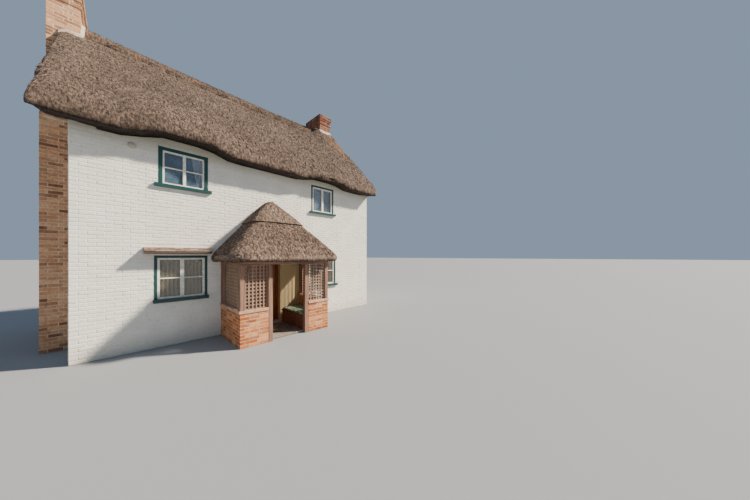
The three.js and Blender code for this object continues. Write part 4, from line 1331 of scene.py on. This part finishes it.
class COTTAGE_OT_chimneys(bpy.types.Operator):
    """Build both chimneys in bonded brick with corbelled heads and mortar collars"""

    bl_idname = "cottage.chimneys"
    bl_label = "Chimneys"

    def execute(self, context):
        settings = context.scene.cottage_brickwork
        left = stack_bricks("left_chimney_bricks", LEFT_STACK, 0.0, settings, breast_half, 7.6)
        left += tumbled_shoulders(settings)
        right = stack_bricks(
            "right_chimney_bricks", RIGHT_STACK, 6.4, settings, lambda z: NECK_HALF, 7.7
        )
        for node, places, box, clay, joints in (
            ("left_chimney", left, LEFT_STACK, "breast_brick", "breast_mortar"),
            ("right_chimney", right, RIGHT_STACK, "chimney_brick", "dark_mortar"),
        ):
            bricks = dress(lay(node + "_bricks", brick_model(0.004), places), clay)
            core = mortar_core(node, node + "_core", box)
            dress(core, joints, "flaunching", "soot")
            place_piece(bricks, "chimney_brick", node)
            place_piece(core, "chimney_brick")
        beside = [p for p in around(LEFT_STACK) if p[2] >= 0]
        for side, path, closed in (("right", around(RIGHT_STACK), True), ("left", beside, False)):
            collar = mortar_collar(side + "_chimney_collar", path, closed)
            place_piece(dress(collar, "flaunching"), "chimney_brick")
        return {"FINISHED"}


class COTTAGE_OT_main_thatch(bpy.types.Operator):
    """Dress the two main slopes of thatch and the ridge over them"""

    bl_idname = "cottage.main_thatch"
    bl_label = "Main thatch"

    def execute(self, context):
        settings = context.scene.cottage_thatch
        count = round(SLOPE_AREA * settings.density)
        slope = {"voxel": settings.voxel, "lump": settings.lump, "count": count, "thickness": 0.011}
        ridge = {"voxel": 0.022, "lump": 0.016, "thickness": 0.008, "sink": 0.12}
        for node, material, seed, shrink, values in (
            ("thatch_front", "thatch", 5, 1.0, {**slope, "lap": LAP}),
            ("thatch_rear", "thatch", 6, 1.0, {**slope, "lap": -LAP}),
            ("thatch_ridge", "ridge", 15, 0.8, {**ridge, "count": 9000}),
            ("thatch_ridge_end", "ridge", 16, 0.8, {**ridge, "count": 900}),
        ):
            reed = settings.reed * shrink
            piece = dress_thatch(node + "_dressed", node, reed=reed, seed=seed, **values)
            place_piece(dress(piece, material), "thatch", node)
        return {"FINISHED"}


class COTTAGE_OT_windows(bpy.types.Operator):
    """Joinery and glass of the eight casement windows"""

    bl_idname = "cottage.windows"
    bl_label = "Windows"

    def execute(self, context):
        slots = ("green_paint", "white_paint", "window_glass")
        parts = ("window_frame", "casements", "glass")
        for place in WINDOWS:
            rear = zip(glazing(place, "rear"), slots, [f"rear_{place}_window"] * 3)
            front = zip(glazing(place, "front"), slots, [f"{place}_{part}" for part in parts])
            for piece, slot, node in (*rear, *front):
                place_piece(piece, slot, node)
        return {"FINISHED"}


class COTTAGE_OT_curtains(bpy.types.Operator):
    """Hang the curtains and the nets behind the front windows"""

    bl_idname = "cottage.curtains"
    bl_label = "Curtains"

    def execute(self, context):
        settings, gap = context.scene.cottage_soft, 0.002
        for node, swept, depth, material in (
            ("lower_left_curtain", 0.0, 0.018, "curtain"),
            ("upper_left_curtain", 0.5, 0.016, "net"),
            ("upper_right_curtain", 0.0, 0.014, "net"),
        ):
            low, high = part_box(node)
            across = (low.x + gap, high.x - gap)
            up = (low.z + gap, high.z - gap)
            y = (low.y + high.y) / 2
            name, seed = node + "_cloth", len(node)
            piece, flat = hung_cloth(name, *across, *up, y, settings, swept, depth, seed)
            place_piece(dress(piece, material), "curtain_cloth", node)
        return {"FINISHED"}


class COTTAGE_OT_front_door(bpy.types.Operator):
    """Board the front door and finish its frame, knob and threshold"""

    bl_idname = "cottage.front_door"
    bl_label = "Front door"

    def execute(self, context):
        leaf = grooved_door("front_door_boarded", context.scene.cottage_joinery.board)
        place_piece(dress(leaf, "door"), "door_oak", "front_door", body="front_door")
        place_eased("door_frame", 0.004, "door", "door_oak")
        dress(NODES["door_knob"], "brass")
        place_eased("door_threshold", 0.008, "stone", "stone", 3)
        return {"FINISHED"}


class COTTAGE_OT_hood_and_light(bpy.types.Operator):
    """Tile the hood over the lower left window and make the wall light"""

    bl_idname = "cottage.hood_and_light"
    bl_label = "Window hood and wall light"

    def execute(self, context):
        body = drawn_in("window_hood", "window_hood_body")
        place_piece(dress(body, "fascia"), "clay_tile", "window_hood")
        low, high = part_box("window_hood")
        reach = high.y - low.y
        down = Vector((0, -reach, -HOOD_FALL)).normalized()
        out = Vector((0, down.z, -down.y))
        top = Vector((0, high.y, high.z))
        slope = math.hypot(reach, HOOD_FALL)
        lean = math.degrees(math.atan2(HOOD_FALL, reach)) - TILE_KICK
        rng = random.Random("hood tiles")
        left, right = HOOD_TILES
        places = []
        for course in range(3):
            end = slope - CLEAR - course * TILE_GAUGE
            spans = run(left, right, TILE_WIDTH, CLEAR)
            if course % 2:
                half = (spans[0][1] - spans[0][0]) / 2
                spans = [(a + half, b + half) for a, b in spans[:-1]]
                spans = [(left, spans[0][0] - CLEAR), *spans, (spans[-1][1] + CLEAR, right)]
            for a, b in spans:
                long = min(TILE_LENGTH, end + TILE_TUCK) + rng.uniform(-0.006, 0.004)
                centre = top + down * (end - long / 2) + out * rng.uniform(0.003, 0.006)
                centre.x = (a + b) / 2
                centre.y = min(centre.y, -WALL_Y - TILE_STOP)
                half_size = ((b - a) / 2, long / 2, TILE_HALF)
                places.append((np.array(centre), half_size, turned(lean, "X"), rng.random()))
        tiles = lay("window_hood_tiles", model_of("tile_model", (0.08, 0.1, 0.006), 0.003), places)
        place_piece(dress(tiles, "tile"), "clay_tile")
        light = copy_of("wall_light", "wall_light_dressed")
        with editing(light):
            front = min(v.co.y for v in bmesh.from_edit_mesh(light.data).verts)
            pick(light, lambda f: f.calc_center_median().y < front + 0.002)
            bpy.ops.mesh.inset(thickness=LIGHT_RIM)
            bpy.ops.mesh.extrude_region_move(TRANSFORM_OT_translate={"value": (0, LENS_SUNK, 0)})
        for face in light.data.polygons:
            off_middle = math.hypot(face.center.x - LIGHT_X, face.center.z - LIGHT_Z)
            if face.center.y < front + 0.02 and off_middle < LENS:
                face.material_index = 1
        ease(light, 0.002)
        place_piece(dress(light, "enamel", "glass"), "white_paint", "wall_light")
        return {"FINISHED"}


class COTTAGE_OT_porch_walls(bpy.types.Operator):
    """Lay the porch's dwarf walls, copings and floor"""

    bl_idname = "cottage.porch_walls"
    bl_label = "Porch walls"

    def execute(self, context):
        settings = context.scene.cottage_brickwork
        skin, thick = 0.0015, 0.105
        for side in ("left", "right"):
            wall, coping = "porch_wall_" + side, "porch_coping_" + side
            low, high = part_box(wall)
            y_front = (low.y + skin, low.y + thick - skin)
            if side == "left":
                leg = (low.x + skin, low.x + thick - skin, low.y + skin, high.y)
                front = (low.x + thick, high.x, *y_front)
            else:
                leg = (high.x - thick + skin, high.x - skin, low.y + skin, high.y)
                front = (low.x, high.x - thick, *y_front)
            rng = random.Random("porch " + side)
            places = []
            for i, (a, b) in enumerate(run(0.002, high.z, settings.course, settings.joint)):
                places += l_course(leg, front, i % 2, a, b, settings, rng)
            bricks = lay(wall + "_bricks", brick_model(0.003), places)
            core = drawn_in(wall, wall + "_core")
            place_piece(dress(bricks, "porch_brick"), "orange_brick", wall)
            place_piece(dress(core, "mortar"), "orange_brick")
            place_eased(coping, 0.01, "coping", "stone", 3)
        low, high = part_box("porch_floor")
        foot = (low.x, low.y, SLAB_FOOT)
        paving = slabs("porch_floor_slabs", foot, high, SLAB, SLAB_JOINT, "porch slabs")
        bed = drawn_in("porch_floor", "porch_floor_bed")
        place_piece(dress(paving, "slab"), "stone", "porch_floor")
        place_piece(dress(bed, "dark_mortar"), "stone")
        return {"FINISHED"}


class COTTAGE_OT_porch_timber(bpy.types.Operator):
    """Porch posts, wall plate and trellis in weathered oak"""

    bl_idname = "cottage.porch_timber"
    bl_label = "Porch timber"

    def execute(self, context):
        settings = context.scene.cottage_joinery
        for kind in ("corner", "inner"):
            for side in ("left", "right"):
                place_eased(f"porch_{kind}_post_{side}", WORN_EDGE, "oak_up", "weathered_oak")
        plate = place_eased("porch_wall_plate", 0.006, "oak_x", "weathered_oak")
        plate.data.materials.append(MATERIALS["oak_y"])
        for face in plate.data.polygons:
            if abs(face.center.x - PORCH_MIDDLE) > PLATE_HALF and face.center.y > PLATE_FRONT:
                face.material_index = 1
        for node, across in (("front_left", 0), ("front_right", 0), ("left", 1), ("right", 1)):
            whole = "porch_lattice_" + node
            panel = trellis(f"porch_trellis_{node}", whole, across, settings)
            place_piece(dress(panel, "lath"), "weathered_oak", whole)
            if across:
                low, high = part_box(whole)
                post = block("porch_wall_post_" + node, (low.x, high.y - POST, low.z), high)
                place_piece(dress(ease(post, WORN_EDGE), "oak_up"), "weathered_oak")
        return {"FINISHED"}


class COTTAGE_OT_porch_thatch(bpy.types.Operator):
    """Dress the porch's hipped thatch and its saddle ridge"""

    bl_idname = "cottage.porch_thatch"
    bl_label = "Porch thatch"

    def execute(self, context):
        for name, node, voxel, lump, count, reed, thickness, seed, sink in (
            ("porch_thatch_dressed", "porch_thatch", 0.03, 0.03, 18000, 0.075, 0.008, 31, 0.0),
            ("porch_ridge_dressed", "porch_thatch_ridge", 0.02, 0.014, 3500, 0.06, 0.007, 32, 0.03),
        ):
            piece = dress_thatch(name, node, voxel, lump, count, reed, thickness, seed, sink)
            place_piece(dress(piece, "porch_thatch"), "thatch", node)
        return {"FINISHED"}


class COTTAGE_OT_bench(bpy.types.Operator):
    """Board the porch bench and make its cushion"""

    bl_idname = "cottage.bench"
    bl_label = "Bench and cushion"

    def execute(self, context):
        low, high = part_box("porch_bench")
        inset, thin, thick = 0.025, 0.018, 0.035
        front, inner, seat = low.x + inset, low.x + inset + thin, high.z - thick
        rng = random.Random("bench")
        places = []
        for a, b in run(low.y, high.y, FRONT_BOARD, CLEAR):
            places.append((*spot((front, a, low.z), (inner, b, seat)), None, rng.random()))
        for a, b in run(low.x, high.x, SEAT_BOARD, CLEAR):
            places.append((*spot((a, low.y, seat), (b, high.y, high.z)), None, rng.random()))
        boards = lay("porch_bench_boards", model_of("board_model", (0.1, 0.1, 0.01), 0.003), places)
        place_piece(dress(boards, "bench"), "floor_boards", "porch_bench")
        case = block(
            "porch_bench_carcass",
            (inner, low.y + 0.002, low.z + 0.001),
            (high.x, high.y - 0.002, seat - 0.001),
        )
        place_piece(dress(case, "bench"), "floor_boards")
        low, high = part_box("bench_cushion")
        swell = context.scene.cottage_soft.swell
        pad = block("bench_cushion_cover", low, high - Vector((0, 0, swell * 0.6)))
        refine(pad, "BEVEL", width=0.016, segments=4, limit_method="ANGLE")
        refine(pad, "REMESH", mode="VOXEL", voxel_size=0.012, use_smooth_shade=True)
        middle, half = (low + high) / 2, (high - low) / 2
        for vertex in pad.data.vertices:
            u, v = (vertex.co.x - middle.x) / half.x, (vertex.co.y - middle.y) / half.y
            crown = max(0.0, 1 - u**4) * max(0.0, 1 - v**6)
            if vertex.co.z > middle.z:
                vertex.co.z += swell * (crown - 0.4)
        roughen(pad, "cushion_creases", 0.12, 0.008, 0.8)
        place_piece(dress(pad, "cushion"), "cushion_cloth", "bench_cushion")
        return {"FINISHED"}


class COTTAGE_OT_stage(bpy.types.Operator):
    """Pale floor, soft light and the camera at the photo's viewing angle"""

    bl_idname = "cottage.stage"
    bl_label = "Stage"

    def execute(self, context):
        settings = context.scene.cottage_stage
        bpy.ops.object.select_all(action="DESELECT")
        bpy.ops.mesh.primitive_plane_add(size=400, location=(0, 0, -0.002))
        floor = settle(named(bpy.context.active_object, "studio_floor"))
        matt, *_ = new_material("matt_studio_floor", 0.95, Base_Color=(*settings.floor, 1.0))
        floor.data.materials.append(matt)
        world = bpy.data.worlds.new("pale_studio")
        context.scene.world = world
        world.use_nodes = True
        back = world.node_tree.nodes["Background"]
        back.inputs["Color"].default_value = (*settings.sky, 1.0)
        back.inputs["Strength"].default_value = settings.fill
        bpy.ops.object.light_add(type="SUN")
        sun = bpy.context.active_object
        sun.name = "key_light"
        sun.data.energy = settings.sun
        sun.data.angle = math.radians(SUN_DEGREES)
        sun.data.color = linear("#fff1de")
        sun.rotation_mode = "QUATERNION"
        sun.rotation_quaternion = Vector(TO_SUN).to_track_quat("Z", "Y")
        sun.location = SUN_PLACE
        bpy.ops.object.camera_add(location=EYE)
        camera = bpy.context.active_object
        camera.name = "main_camera"
        camera.rotation_euler = (math.pi / 2, 0, -math.atan2(*VIEW))
        camera.data.lens = LENS_MM
        camera.data.sensor_width = SENSOR_MM
        camera.data.shift_y = SHIFT
        camera.data.clip_start, camera.data.clip_end = 0.1, 500
        context.scene.camera = camera
        return {"FINISHED"}


OPERATORS = (
    COTTAGE_OT_walls,
    COTTAGE_OT_chimneys,
    COTTAGE_OT_main_thatch,
    COTTAGE_OT_windows,
    COTTAGE_OT_curtains,
    COTTAGE_OT_front_door,
    COTTAGE_OT_hood_and_light,
    COTTAGE_OT_porch_walls,
    COTTAGE_OT_porch_timber,
    COTTAGE_OT_porch_thatch,
    COTTAGE_OT_bench,
    COTTAGE_OT_stage,
)
SETTINGS = {
    "cottage_brickwork": BrickworkSettings,
    "cottage_thatch": ThatchSettings,
    "cottage_joinery": JoinerySettings,
    "cottage_soft": SoftSettings,
    "cottage_stage": StageSettings,
}


class COTTAGE_PT_panel(bpy.types.Panel):
    """Makes the cottage's pieces one group at a time"""

    bl_label = "Cottage"
    bl_idname = "COTTAGE_PT_panel"
    bl_space_type = "VIEW_3D"
    bl_region_type = "UI"
    bl_category = "Cottage"

    def draw(self, context):
        for operator in OPERATORS:
            self.layout.operator(operator.bl_idname)
        for group in SETTINGS:
            values = getattr(context.scene, group)
            for name in values.bl_rna.properties.keys():
                if name not in ("rna_type", "name"):
                    self.layout.prop(values, name)


def register():
    for kind in (*SETTINGS.values(), *OPERATORS, COTTAGE_PT_panel):
        bpy.utils.register_class(kind)
    for name, kind in SETTINGS.items():
        setattr(bpy.types.Scene, name, bpy.props.PointerProperty(type=kind))


def unregister():
    for name in SETTINGS:
        delattr(bpy.types.Scene, name)
    for kind in (COTTAGE_PT_panel, *reversed(OPERATORS), *SETTINGS.values()):
        bpy.utils.unregister_class(kind)


def main():
    register()
    for operator in OPERATORS:
        group, name = operator.bl_idname.split(".")
        getattr(getattr(bpy.ops, group), name)()


if __name__ == "__main__":
    main()
